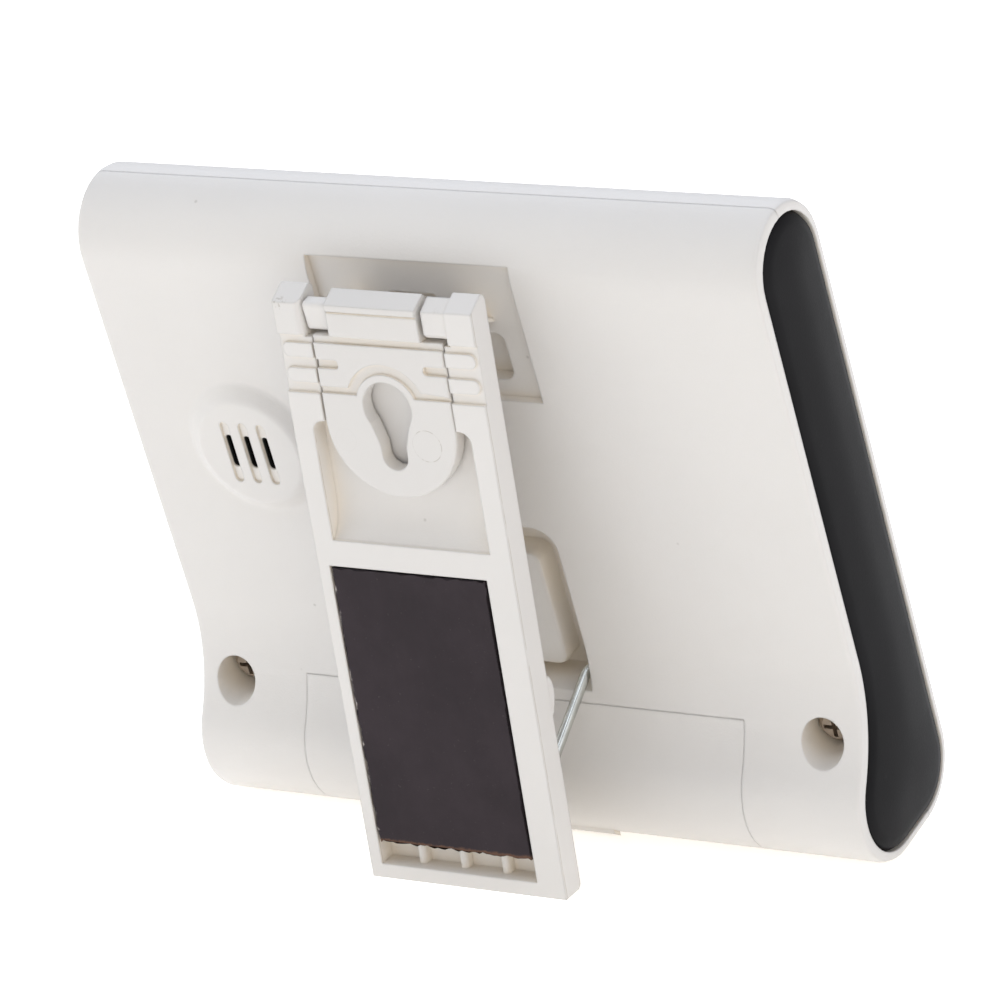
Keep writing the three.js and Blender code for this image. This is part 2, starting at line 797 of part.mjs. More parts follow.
function endGrip(side) {
  const inner = halfWidth - gripSeat + seam;
  const outer = halfWidth + gripCrown;
  const rounded = alongX(caseProfile(gripRim + seam / 2), inner - gripEdge, outer, { edge: gripEdge });
  const pad = cut(rounded, box(-far, inner, -far, far, -far, far));
  const pegs = gripPegHeights.map((height) => (
    rodX(hollowHalf - gripPegReach, inner + seam, seamPlane, height, gripPegRadius, 10)
  ));
  const grip = join(pad, ...pegs);
  return side > 0 ? grip : grip.mirror([1, 0, 0]);
}

function doorTongues() {
  const half = doorTongueWidth / 2;
  const above = caseBand(-1, wall + seam, -far, far)
    .intersect(box(-far, far, -far, far, doorTop - seam, far));
  return tonguePlaces().map((x) => (
    cut(
      caseBand(doorWall - clearance, wall + 1, x - half, x + half).intersect(
        box(-far, far, seamPlane, far, doorTop - doorTongueRoot, doorTop + doorTongueReach),
      ),
      above,
    )
  ));
}

function doorLatch() {
  const half = doorLatchWidth / 2;
  const front = seamPlane + seam / 2;
  const lip = caseBand(doorWall - clearance, wall + doorLatchLift + doorLatchThickness, -half, half)
    .intersect(box(
      -far, far, seamPlane - seam / 2 - doorLatchReach, front + lipDepth, -far, doorLatchHeight,
    ));
  const below = caseBand(-1, wall + doorLatchLift, -far, far)
    .intersect(box(-far, far, -far, front, -far, doorLatchHeight));
  return cut(lip, below);
}

function batteryDoor() {
  const front = seamPlane + seam / 2;
  const cover = caseBand(0, doorWall, -doorHalf, doorHalf)
    .intersect(box(-far, far, front, far, -far, doorTop - seam));
  const ridgeHalf = doorRidgeWidth / 2;
  const ridgeSide = doorRidgeThickness / 2;
  const ridge = caseBand(-doorRidgeHeight, doorWall / 2, -ridgeHalf, ridgeHalf).intersect(
    box(-far, far, doorRidgeBehind - ridgeSide, doorRidgeBehind + ridgeSide, -far, footRadius / 2),
  );
  return join(cover, ...doorTongues(), doorLatch(), ridge);
}

function caseScrew(x) {
  const seat = -screwWellDepth + pinClearance;
  const tip = innerFront + screwTipGap;
  const head = turned(x, caseScrewHeight, [
    [0, tip], [caseScrewRadius / 2, tip], [caseScrewRadius, tip + caseScrewRadius],
    [caseScrewRadius, seat], [screwHeadRadius, seat], [screwHeadRadius, seat + screwHeadHeight * 0.6],
    [screwHeadRadius * 0.7, seat + screwHeadHeight], [0, seat + screwHeadHeight],
  ], 16);
  const bottom = seat + screwHeadHeight - screwCrossDepth;
  const top = seat + 2 * screwHeadHeight;
  const slot = (halfX, halfZ) => box(
    x - halfX, x + halfX, bottom, top, caseScrewHeight - halfZ, caseScrewHeight + halfZ,
  );
  const long = screwHeadRadius * 0.6;
  const short = screwCrossWidth / 2;
  return cut(head, slot(long, short), slot(short, long));
}

// Front pieces and the works

function displayWindow() {
  return alongY(windowOutline(0), frontPlane + windowSunk, frontPlane + windowSunk + windowThickness);
}

function displayPanel() {
  const front = innerFront + clearance;
  const halfW = displayWidth / 2;
  const halfH = displayHeight / 2;
  return box(-halfW, halfW, front, front + displayThickness, windowCentre - halfH, windowCentre + halfH);
}

function displayFrame() {
  const front = innerFront + clearance;
  const back = boardFront - clearance;
  const innerW = displayWidth / 2 + clearance;
  const innerH = displayHeight / 2 + clearance;
  const outer = roundedRectangle(
    -innerW - frameWall, innerW + frameWall,
    windowCentre - innerH - frameWall, windowCentre + innerH + frameWall / 2, 1,
  );
  const inside = box(-innerW, innerW, front - 1, back + 1, windowCentre - innerH, windowCentre + innerH);
  return cut(alongY(outer, front, back, { segments: 3 }), inside);
}

function zebraStrip() {
  const half = displayWidth / 2 - zebraInset;
  const back = innerFront + clearance + displayThickness + seam;
  const low = windowCentre - displayHeight / 2 + zebraRise;
  return box(-half, half, back, boardFront - seam, low, low + zebraThickness);
}

function circuitBoard() {
  const plate = box(-boardHalf, boardHalf, boardFront, boardBack, boardBottom, boardTop);
  const holes = boardScrewPlaces().map(({ x, z }) => (
    postY(x, z, boardScrewRadius + clearance, boardFront - 1, boardBack + 1, 12)
  ));
  return cut(plate, ...holes);
}

function controllerChip() {
  const base = boardBack + solderGap;
  return turned(-chipOffset, boardCentre + chipAboveCentre, [
    [0, base], [chipRadius, base], [chipRadius * 0.84, base + chipRise * 0.6], [0, base + chipRise],
  ], 16);
}

function boardScrew({ x, z }) {
  const under = boardBack + solderGap;
  const tip = innerFront + bossFloor + clearance;
  return turned(x, z, [
    [0, tip], [boardScrewRadius, tip + boardScrewRadius], [boardScrewRadius, under],
    [boardScrewHead, under], [boardScrewHead, under + boardScrewRise / 2],
    [boardScrewHead * 0.6, under + boardScrewRise], [0, under + boardScrewRise],
  ], 8);
}

function keypadMat() {
  const back = boardFront - solderGap;
  const halfW = windowWidth / 2 + matSide;
  const halfH = buttonHeight / 2 + matMargin;
  const base = box(
    -halfW, halfW, back - matThickness, back, buttonHeightAbove - halfH, buttonHeightAbove + halfH,
  );
  const root = back - matThickness / 2;
  const domes = buttonCentres.map((centre) => turned(centre, buttonHeightAbove, [
    [0, domeFront], [domeTopRadius, domeFront], [domeRadius, root], [0, root],
  ], 12));
  return join(base, ...domes);
}

function pushButton(centre) {
  const flangeFront = innerFront + clearance;
  const cap = alongY(
    buttonOutline(centre, 0), frontPlane - buttonProud, flangeFront + buttonFlange + solderGap,
    { edge: buttonEdge, segments: 5 },
  );
  const flange = alongY(buttonOutline(centre, buttonFlange), flangeFront, flangeFront + buttonFlange);
  const stem = postY(
    centre, buttonHeightAbove, buttonStemRadius,
    flangeFront + buttonFlange / 2, domeFront - buttonTravel - seam, 10,
  );
  return join(cap, flange, stem);
}

function buzzerDisc() {
  const back = -wall - buzzerRingHeight - seam;
  const front = back - buzzerThickness;
  const brass = postY(grilleOffset, grilleHeight, buzzerRadius, front, back, 28);
  const ceramic = postY(grilleOffset, grilleHeight, buzzerRadius * 0.7, front - seam, front + seam / 2, 20);
  return join(brass, ceramic);
}

function batteryCell() {
  const end = cellLength / 2;
  const body = rodX(-end, end, cellAxis.y, cellAxis.z, cellRadius, 24);
  const nub = rodX(end - cellNubLength, end + cellNubLength, cellAxis.y, cellAxis.z, cellNubRadius, 12);
  return join(body, nub);
}

// A contact leaf fills the end of the bay and clears the closed door.
function contactLeaf(x) {
  const leaf = box(
    x, x + contactThickness, bayFloor + seam, cellAxis.y + contactReach,
    cellAxis.z - cellRadius, cellAxis.z + cellRadius,
  );
  return leaf.intersect(alongX(caseProfile(doorWall + 2 * clearance), x - 1, x + 1));
}

function contactPlate() {
  return contactLeaf(cellLength / 2 + cellNubLength + clearance);
}

// A conical spring of round wire on its plate: one unbroken tube that widens turn by turn.
class SpringCurve extends THREE.Curve {
  getPoint(t, target = new THREE.Vector3()) {
    const angle = t * springTurns * Math.PI * 2;
    const radius = springSmallRadius + (springLargeRadius - springSmallRadius) * t;
    const start = -cellLength / 2 - clearance - springWire;
    const run = springLength - springWire;
    return target.set(
      start - t * run, cellAxis.y + radius * Math.cos(angle), cellAxis.z + radius * Math.sin(angle),
    );
  }
}

function contactSpring() {
  const section = new THREE.Shape();
  section.absarc(0, 0, springWire, 0, Math.PI * 2, false);
  const geometry = new THREE.ExtrudeGeometry(section, {
    steps: springTurns * 8, curveSegments: 3, bevelEnabled: false, extrudePath: new SpringCurve(),
  });
  const x = -cellLength / 2 - springLength - clearance;
  return join(solid(geometry), contactLeaf(x - contactThickness));
}

// Stand. These pieces are drawn about the hinge pin: Z runs up the leaf, Y out of its face.

const face = hingeDepth;
const inside = face - leafThickness;
const tabFloor = face - tabThickness - tabGap;
const down = (distance) => hingeDown - distance;

function hookProfile() {
  const hook = new THREE.Shape();
  hook.moveTo(inside, down(plateTop + 1));
  hook.lineTo(face, down(plateTop + 1));
  hook.lineTo(face, down(hookRise));
  hook.absarc(inside + hookRound, down(hookRound), hookRound, Math.PI / 2, Math.PI, false);
  return hook;
}

// The lid joins the left hook, covers the front of the round knuckle and is bored to clear it.
function hookLid() {
  const front = face - lidInset;
  const lid = new THREE.Shape();
  lid.moveTo(0, -lidBottom);
  lid.lineTo(front - lidChamfer, -lidBottom);
  lid.lineTo(front, -lidBottom + lidChamfer);
  lid.lineTo(front, down(hookRise + lidInset));
  lid.lineTo(0, down(hookRise / 4));
  const body = alongX(lid, -hookInner - hookCorner, -barWidth / 2 - 2 * clearance);
  return cut(body, rodX(-hookInner, 0, 0, 0, pinRadius + knuckleWall + clearance, 24));
}

// One hook stands beside its knuckle with a rounded inner corner; the other carries the lid.
function leafHooks() {
  const rounded = new THREE.Shape();
  rounded.moveTo(halfLeaf, inside);
  rounded.lineTo(halfLeaf, face);
  rounded.absarc(hookInner + hookCorner, face - hookCorner, hookCorner, Math.PI / 2, Math.PI, false);
  rounded.lineTo(hookInner, inside);
  const open = alongX(hookProfile(), hookInner, halfLeaf, { segments: 5 });
  return [
    open.intersect(alongZ(rounded, -far, far, { segments: 5 })),
    alongX(hookProfile(), -halfLeaf, -hookInner, { segments: 5 }),
    hookLid(),
  ];
}

function pinNotches(end) {
  const mouth = pinRadius - mouthLip;
  return [
    rodX(-end, end, 0, 0, pinRadius + pinClearance),
    box(-end, end, -far, 0, -mouth, mouth),
  ];
}

function tabOutline(grow) {
  const half = tabWidth / 2 + grow;
  const shape = new THREE.Shape();
  shape.absarc(0, down(tabLength - tabWidth / 2), half, Math.PI, Math.PI * 2, false);
  shape.lineTo(half, down(tabTop) + grow);
  shape.lineTo(-half, down(tabTop) + grow);
  return shape;
}

// A groove runs across the tab and arches over the top of the keyhole.
function archedGroove() {
  const side = tabWidth;
  const outer = archRadius + archWidth;
  const outerAngle = Math.asin((keyholeCentre - grooveTop) / outer);
  const innerAngle = Math.asin((keyholeCentre - grooveBottom) / archRadius);
  const shape = new THREE.Shape();
  shape.moveTo(-side, down(grooveTop));
  shape.absarc(0, down(keyholeCentre), outer, Math.PI - outerAngle, outerAngle, true);
  shape.lineTo(side, down(grooveTop));
  shape.lineTo(side, down(grooveBottom));
  shape.absarc(0, down(keyholeCentre), archRadius, innerAngle, Math.PI - innerAngle, false);
  shape.lineTo(-side, down(grooveBottom));
  return alongY(shape, face - bandDepth, far, { segments: 12 });
}

// Low pads stand in the shallow band beside the tab.
function bandPads() {
  return [-1, 1].flatMap((way) => padTops.map((top) => {
    const ends = [way * (tabWidth / 2 - padRound), way * (halfLeaf - padInset)];
    const pad = roundedRectangle(
      Math.min(...ends), Math.max(...ends), down(top + padHeight), down(top), padRound,
    );
    return alongY(pad, face - bandDepth - seam, face - padDrop, { segments: 4 });
  }));
}

// The floor under the tab curves up to meet the flat band above the magnet.
function leafScoop() {
  const side = halfLeaf - leafRail;
  const floor = inside + leafFloor;
  const scoop = new THREE.Shape();
  scoop.moveTo(face + 1, down(scoopTop));
  scoop.lineTo(floor, down(scoopTop));
  scoop.lineTo(floor, down(tabLength + tabGap));
  scoop.quadraticCurveTo(floor, down(scoopTurn), face - bandDepth, down(scoopBottom));
  scoop.lineTo(face + 1, down(scoopBottom));
  const low = down(scoopBottom + scoopCorner);
  const outline = roundedRectangle(-side, side, low, down(scoopTop), scoopCorner);
  return alongX(scoop, -side, side, { segments: 6 }).intersect(alongY(outline, -far, far));
}

function magnetBay() {
  const top = down(magnetTop - seam);
  const bottom = top - magnetBayLength;
  const floor = face - magnetBayDepth;
  const bay = box(magnetLeft - seam, magnetRight + seam, floor, face + 1, bottom, top);
  const half = bayRibWidth / 2;
  const crest = face - magnetThickness - seam - half;
  const ribs = Array.from({ length: bayRibs }, (_, index) => {
    const x = (magnetLeft + magnetRight) / 2 + (index - (bayRibs - 1) / 2) * bayRibPitch;
    const rib = new THREE.Shape();
    rib.moveTo(x - half, floor - seam);
    rib.lineTo(x + half, floor - seam);
    rib.absarc(x, crest, half, 0, Math.PI, false);
    return alongZ(rib, bottom - seam, top + seam, { segments: 4 });
  });
  return { bay, ribs };
}

function wireKnuckles() {
  const y = hingeDepth - wireDepth;
  const z = down(wireDown);
  const half = wireKnuckleWidth / 2;
  const radius = wireRadius + wireKnuckleWall;
  const mouth = wireRadius - seam / 2;
  return [-1, 0, 1].map((way) => {
    const x0 = way * wireKnuckleOffset - half;
    const x1 = way * wireKnuckleOffset + half;
    const block = box(x0, x1, y, inside + clearance, z - radius - clearance, z + radius + clearance);
    const cap = rodX(x0, x1, y, z, radius, 16);
    const bore = rodX(x0 - 1, x1 + 1, y, z, wireRadius + pinClearance, 12);
    return cut(join(block, cap), bore, box(x0 - 1, x1 + 1, y - 2 * radius, y, z - mouth, z + mouth));
  });
}

// Small catches near the edges of the leaf's inner face.
function leafCatches() {
  const low = down(wireDown - catchAboveWire);
  return [-1, 1].map((way) => {
    const x = way * (halfLeaf - catchInset);
    const ear = new THREE.Shape();
    ear.moveTo(inside + clearance, low);
    ear.lineTo(inside + clearance, low + catchHeight);
    ear.lineTo(inside - catchProud * 0.3, low + catchHeight);
    ear.quadraticCurveTo(inside - catchProud, low + catchHeight * 0.6, inside - catchProud * 0.2, low);
    return alongX(ear, x - catchHalf, x + catchHalf, { segments: 5 });
  });
}

function standLeaf() {
  const plate = box(-halfLeaf, halfLeaf, inside, face, down(leafLength), down(plateTop));
  const wedge = box(-far, far, -1, 1, -1, 1).rotate([45, 0, 0]);
  const chamfer = wedge.translate([0, inside - 1, down(leafLength)]);
  const magnet = magnetBay();
  const band = box(-far, far, face - bandDepth, far, down(grooveBottom), down(bandTop));
  const body = cut(join(plate, ...leafHooks()), chamfer, magnet.bay, band, leafScoop());
  const dressed = join(body, ...bandPads(), ...magnet.ribs);
  const roomy = cut(dressed, alongY(tabOutline(tabGap), tabFloor, far));
  const notches = pinNotches(halfLeaf - pinInset + clearance);
  return cut(join(roomy, ...wireKnuckles(), ...leafCatches()), ...notches);
}

// The bar clips on the pin. A crest, a fine groove and a level front face the user.
function tabBar() {
  const back = face - tabThickness;
  const root = face - bandDepth - tabEdge;
  const bar = new THREE.Shape();
  bar.moveTo(face - barDepth, down(barBottom - barProud));
  bar.lineTo(back, down(barBottom));
  bar.lineTo(back, down(tabFaceTop));
  bar.lineTo(root, down(tabFaceTop));
  bar.lineTo(root, down(barBottom));
  bar.lineTo(face, down(barBottom));
  bar.lineTo(face + barProud / 3, down(barBottom - barProud / 2));
  bar.lineTo(face + barProud / 2, down(barGroove + barTopRise));
  bar.lineTo(face, down(barGroove));
  bar.lineTo(face + barProud, down(barGroove - barTopRise));
  bar.lineTo(face + barProud, down(barCrest));
  bar.lineTo(face - barTopStart, down(barTopRise));
  bar.lineTo(face - barDepth, down(barCrest));
  return alongX(bar, -barWidth / 2, barWidth / 2);
}

function keyhole() {
  const reach = keyholeSlotEnd - keyholeCentre;
  const slot = slotOutline(
    0, down(keyholeCentre + reach / 2), 2 * keyholeSlotRadius, reach + 2 * keyholeSlotRadius,
  );
  const flank = Math.sqrt(keyholeRadius ** 2 - keyholeFlank ** 2);
  const taper = new THREE.Shape();
  taper.moveTo(-flank, down(keyholeCentre + keyholeFlank));
  taper.lineTo(flank, down(keyholeCentre + keyholeFlank));
  taper.lineTo(keyholeSlotRadius, down(keyholeNeck));
  taper.lineTo(-keyholeSlotRadius, down(keyholeNeck));
  return [
    postY(0, down(keyholeCentre), keyholeRadius, -far, far, 32),
    alongY(slot, -far, far, { segments: 8 }),
    alongY(taper, -far, far),
  ];
}

function hangTab() {
  const plate = alongY(tabOutline(0), face - tabThickness, face - tabSunk, { edge: tabEdge, segments: 10 });
  const lowBand = box(-far, far, face - bandDepth, far, down(tabFaceTop), far);
  const notches = [-1, 1].map((way) => {
    const notch = slotOutline(
      (way * tabWidth) / 2, down(tabNotchTop + tabNotchWidth / 2), 2 * tabNotchLength, tabNotchWidth,
    );
    return alongY(notch, face - tabNotchDepth, far, { segments: 3 });
  });
  const body = cut(plate, lowBand, archedGroove(), ...notches);
  return cut(join(body, tabBar()), ...keyhole(), ...pinNotches(barWidth));
}

function magnetSheet() {
  const top = down(magnetTop);
  return box(magnetLeft, magnetRight, face - magnetThickness, face, top - magnetLength, top);
}

// The wire is drawn about its pivot under the leaf, with its legs already at their open angle.
function wireBail() {
  const pivot = wirePivot(openAngle);
  const endY = wireSeatBehind - pivot.y;
  const endZ = wireSeatHeight - pivot.z;
  const corner = (x, y, z) => new THREE.Vector3(x, y, z);
  const path = [
    corner(-wireTipOffset, endY, endZ), corner(-wireLegOffset, endY, endZ), corner(-wireLegOffset, 0, 0),
    corner(wireLegOffset, 0, 0), corner(wireLegOffset, endY, endZ), corner(wireTipOffset, endY, endZ),
  ];
  const rods = path.slice(1).map((end, index) => rodBetween(path[index], end, wireRadius));
  const bends = path.slice(1, -1).map((place) => (
    solid(new THREE.SphereGeometry(wireRadius * 1.02, 8, 6).translate(place.x, place.y, place.z))
  ));
  return join(...rods, ...bends);
}

// Assembly

const works = new THREE.Group();
works.add(
  piece('front_shell', frontShell(), finishes.shell),
  piece('rear_shell', rearShell(), finishes.shell),
  piece('grip_right', endGrip(1), finishes.grip),
  piece('grip_left', endGrip(-1), finishes.grip),
  piece('battery_door', batteryDoor(), finishes.shell),
  piece('display_window', displayWindow(), finishes.lens),
  piece('display_panel', displayPanel(), finishes.glass),
  piece('display_frame', displayFrame(), finishes.shell),
  piece('zebra_strip', zebraStrip(), finishes.carbon),
  piece('circuit_board', circuitBoard(), finishes.board),
  piece('controller_chip', controllerChip(), finishes.carbon),
  piece('keypad_mat', keypadMat(), finishes.silicone),
  piece('buzzer_disc', buzzerDisc(), finishes.brass),
  piece('battery_cell', batteryCell(), finishes.cell),
  piece('contact_plate', contactPlate(), finishes.steel),
  piece('contact_spring', contactSpring(), finishes.steel),
);
screwPlaces().forEach((x, index) => {
  works.add(piece(`case_screw_${index + 1}`, caseScrew(x), finishes.steel));
});
boardScrewPlaces().forEach((place, index) => {
  works.add(piece(`board_screw_${index + 1}`, boardScrew(place), finishes.steel));
});
buttonCentres.forEach((centre, index) => {
  works.add(piece(buttonNames[index], pushButton(centre), finishes.button));
});

const stand = new THREE.Group();
stand.position.set(0, hingeBehind, hingeHeight);
stand.rotation.x = THREE.MathUtils.degToRad(openAngle);
stand.add(
  piece('stand_leaf', standLeaf(), finishes.shell),
  piece('hang_tab', hangTab(), finishes.shell),
  piece('magnet_sheet', magnetSheet(), finishes.magnet),
);

const bail = piece('wire_bail', wireBail(), finishes.wire);
bail.position.set(0, wirePivot(openAngle).y, wirePivot(openAngle).z);

// The case leans back until its rounded foot and the tip of the open leaf share one level floor.
function restAngle() {
  const lean = THREE.MathUtils.degToRad(openAngle);
  const reach = leafLength - hingeDown;
  const tip = {
    y: hingeBehind + reach * Math.sin(lean) + face * Math.cos(lean),
    z: hingeHeight - reach * Math.cos(lean) + face * Math.sin(lean),
  };
  const rise = footCentre.z - tip.z;
  const run = tip.y - footCentre.y;
  return Math.atan2(run, rise) - Math.acos(footRadius / Math.hypot(run, rise));
}

const leaning = new THREE.Group();
leaning.rotation.x = -restAngle();
leaning.add(works, stand, bail);

// The origin lies on the floor under the middle of the whole timer.
const timer = new THREE.Group();
timer.add(leaning);
timer.updateMatrixWorld(true);
const bounds = new THREE.Box3().setFromObject(timer, true);
leaning.position.set(0, -(bounds.min.y + bounds.max.y) / 2, -bounds.min.z);

export default timer;
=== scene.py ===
"""The looks of a digital kitchen timer that stands on its fold-out stand, seen from behind."""

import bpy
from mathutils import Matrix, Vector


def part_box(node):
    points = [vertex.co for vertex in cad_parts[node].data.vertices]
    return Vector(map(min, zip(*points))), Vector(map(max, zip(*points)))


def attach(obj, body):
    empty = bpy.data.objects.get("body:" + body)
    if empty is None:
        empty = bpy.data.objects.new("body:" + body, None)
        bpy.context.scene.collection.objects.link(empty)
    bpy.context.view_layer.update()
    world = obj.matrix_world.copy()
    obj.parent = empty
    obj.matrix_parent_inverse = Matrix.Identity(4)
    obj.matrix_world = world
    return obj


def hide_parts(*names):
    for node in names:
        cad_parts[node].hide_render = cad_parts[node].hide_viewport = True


bl_info = {
    "name": "Kitchen Timer Looks",
    "version": (1, 0, 0),
    "blender": (4, 5, 0),
    "location": "3D View > Sidebar > Timer",
    "description": (
        "Gives the kitchen timer its mouldings, rubber, magnet, wire, display and studio"
    ),
    "category": "Object",
}

import math

import bmesh
import bpy
from bpy.props import (
    FloatProperty,
    FloatVectorProperty,
    IntProperty,
    PointerProperty,
    StringProperty,
)
from mathutils import Matrix, Vector, noise

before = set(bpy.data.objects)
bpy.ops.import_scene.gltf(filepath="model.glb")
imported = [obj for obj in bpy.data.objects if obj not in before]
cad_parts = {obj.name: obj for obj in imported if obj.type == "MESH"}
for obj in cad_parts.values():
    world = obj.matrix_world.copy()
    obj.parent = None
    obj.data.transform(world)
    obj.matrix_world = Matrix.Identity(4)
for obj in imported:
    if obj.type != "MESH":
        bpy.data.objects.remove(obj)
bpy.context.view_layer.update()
MM = 0.001

# The upright case leans back on its foot by this turn and shift
LEAN = Matrix.Rotation(math.radians(-14.141998), 3, "X")
STAND_AT = Vector((0.0, -6.586252, -0.188145)) * MM
CASE_BACK = LEAN @ Vector((0.0, 1.0, 0.0))
CASE_UP = LEAN @ Vector((0.0, 0.0, 1.0))
# The open leaf hangs from its pin, with its face outward
PIN = Vector((0.0, 16.676, 67.376)) * MM
LEAF_OUT = Vector((0.0, 0.9978, -0.0670))
LEAF_UP = Vector((0.0, 0.0670, 0.9978))
LEAF_TOP = 2.6 * MM
# The middle plane of the gap between the case halves, and half that gap
SEAM = -7.2 * MM
SEAM_HALF = 0.1 * MM
# The top and side edges of the battery door, and the gap round them
DOOR_TOP = 17.85 * MM
DOOR_SIDE = 28.3 * MM
DOOR_GAP = 0.2 * MM
# Between the seat and the cross of the case screws' heads
HEAD_ROOT = -2.6 * MM

# How close two points are welded, and how close to a plane counts as on it
WELD = 1.5e-6
ON_LEVEL = 0.02 * MM
# The sharpest angles, in degrees, that stay smooth on a moulding and on rubber
MOULDED_CREASE = 28.0
RUBBER_CREASE = 60.0
# A normal this near to a direction belongs to a flat face
FLAT = 0.99

# The domed ends: how far in from the rim the dome reaches, its grid and its rounded edge
DOME_REACH = 7.0 * MM
DOME_STEP = 1.4 * MM
DOME_EDGE = 1.5 * MM

# The magnet sheet: half its width and height, the steps of its cut rim and their wander
MAGNET_HALF = (9.85, 16.65)
RIM_LENGTH = 5 * MM
RIM_STEP = 0.45 * MM
RIM_WANDER = 1.1 * MM

# Places of marks, in millimetres on the case or on the leaf, and their sizes
OUTLET = (26.9, 0.5, 47.9)
OUTLET_RADIUS = 7.2 * MM
SLOT_LIP = (0.75 * MM, 0.92 * MM)
LINE_LOW = (1.71 * MM, 1.77 * MM)
LINE_HIGH = (1.80 * MM, 1.86 * MM)
HOOK_DIRT = (11.6, 2.0, 1.3)
HOOK_DIRT_RADIUS = 1.1 * MM
NOTCH_DIRT = (-8, 2.0, 0.9)
NOTCH_DIRT_RADIUS = 0.9 * MM
WIDE_RING = (-4.3, 1.85, 16.9)
WIDE_RING_RADIUS = 1.8 * MM
SMALL_RING = (5.96, 1.85, 16.9)
SMALL_RING_RADIUS = 1.3 * MM
TAB_MIDDLE = (0, 1.0, 16.5)

# Colours of stains and dust, of painted shade, and of the pieces inside
SPECK_BROWN = (0.25, 0.23, 0.2, 1.0)
LINE_BROWN = (0.33, 0.27, 0.20, 1.0)
DIRT_BROWN = (0.33, 0.29, 0.24, 1.0)
# Black painted into the outlet's slots as shade
SLOT_SHADE_BLACK = (0.02, 0.02, 0.02, 1.0)
RUBBED_GREY = (0.09, 0.085, 0.085, 1.0)
MAGNET_DUST = (0.13, 0.11, 0.11, 1.0)
MAGNET_FOOT = (0.13, 0.07, 0.045, 1.0)
MAGNET_CHIP = (0.42, 0.38, 0.36, 1.0)
LACQUER_GREEN = (0.012, 0.09, 0.03, 1.0)
TRACK_GREEN = (0.03, 0.17, 0.055, 1.0)
SLEEVE_BLUE = (0.02, 0.035, 0.1, 1.0)
SLEEVE_GOLD = (0.55, 0.4, 0.12, 1.0)
BARE_STEEL = (0.6, 0.6, 0.6, 1.0)
WINDOW_CLEAR = (0.97, 0.98, 0.98, 1.0)
WINDOW_HAZE = (0.93, 0.95, 0.95, 1.0)
DISPLAY_DARK = (0.33, 0.36, 0.29, 1.0)
DISPLAY_LIGHT = (0.38, 0.41, 0.33, 1.0)
FLOOR_DARK = (0.955, 0.955, 0.955, 1)
FLOOR_LIGHT = (0.965, 0.965, 0.965, 1)
FLOOR_GLOW = (1.0, 0.965, 0.90, 1.0)
SKY_WHITE = (0.95, 0.965, 1.0, 1.0)

# Each inner node that keeps its shape, and its finish
WORKS = {
    "display_frame": "frame_plastic",
    "zebra_strip": "carbon_rubber",
    "circuit_board": "solder_mask",
    "controller_chip": "potting",
    "keypad_mat": "silicone",
    "buzzer_disc": "dust_felt",
    "battery_cell": "cell_wrap",
    "contact_plate": "spring_steel",
    "contact_spring": "spring_steel",
    "board_screw_1": "screw_steel",
    "board_screw_2": "screw_steel",
    "board_screw_3": "screw_steel",
    "board_screw_4": "screw_steel",
}
BUTTONS = ("minute_button", "second_button", "start_stop_button")

# The point that the lights are turned to
LIGHT_AIM = (0.0, 0.0, 0.04)
# Each studio light: its name, place, width in metres, power in watts and colour
LIGHTS = (
    ("left_light", (1.2, 0.5, 0.5), 1.2, 5.8, (0.97, 0.98, 0.95)),
    ("right_light", (-1.2, 0.35, 0.6), 1.2, 3.5, (0.89, 0.92, 1.0)),
    ("top_light", (0.0, 0.15, 1.2), 1.1, 5.3, (0.82, 0.89, 1.0)),
    ("low_light", (-0.9, 0.9, 0.15), 0.8, 2.4, (1.0, 0.84, 0.56)),
    ("front_light", (0.5, -0.9, 0.9), 1.2, 5.3, (0.88, 0.915, 1.0)),
)

# The digits: sizes in millimetres, each bar's place in half widths and heights, and the bars lit
DIGIT_HEIGHT = 17.0
DIGIT_WIDTH = 8.6
DIGIT_BAR = 1.9
DIGIT_GAP = 3.6
COLON_WIDTH = 4.0
DIGIT_ROW = 4 * DIGIT_WIDTH + 4 * DIGIT_GAP + COLON_WIDTH - DIGIT_GAP
DIGIT_LEAN = 0.08
BAR_TRIM = 0.25
COLON_RISE = 0.22
PRINT_RISE = 0.04
PRINT_ROOT = 0.02
DISPLAY_FRONT = -12.3
DISPLAY_MIDDLE = 53.5
SEGMENTS = {
    "top": (0, 1, False),
    "middle": (0, 0, False),
    "bottom": (0, -1, False),
    "upper_left": (-1, 0.5, True),
    "upper_right": (1, 0.5, True),
    "lower_left": (-1, -0.5, True),
    "lower_right": (1, -0.5, True),
}
SEGMENTS_ON = {
    0: ("top", "bottom", "upper_left", "upper_right", "lower_left", "lower_right"),
    1: ("upper_right", "lower_right"),
    2: ("top", "middle", "bottom", "upper_right", "lower_left"),
    3: ("top", "middle", "bottom", "upper_right", "lower_right"),
    4: ("middle", "upper_left", "upper_right", "lower_right"),
    5: ("top", "middle", "bottom", "upper_left", "lower_right"),
    6: ("top", "middle", "bottom", "upper_left", "lower_left", "lower_right"),
    7: ("top", "upper_right", "lower_right"),
    8: tuple(SEGMENTS),
    9: ("top", "middle", "bottom", "upper_left", "upper_right", "lower_right"),
}


# Shader sums


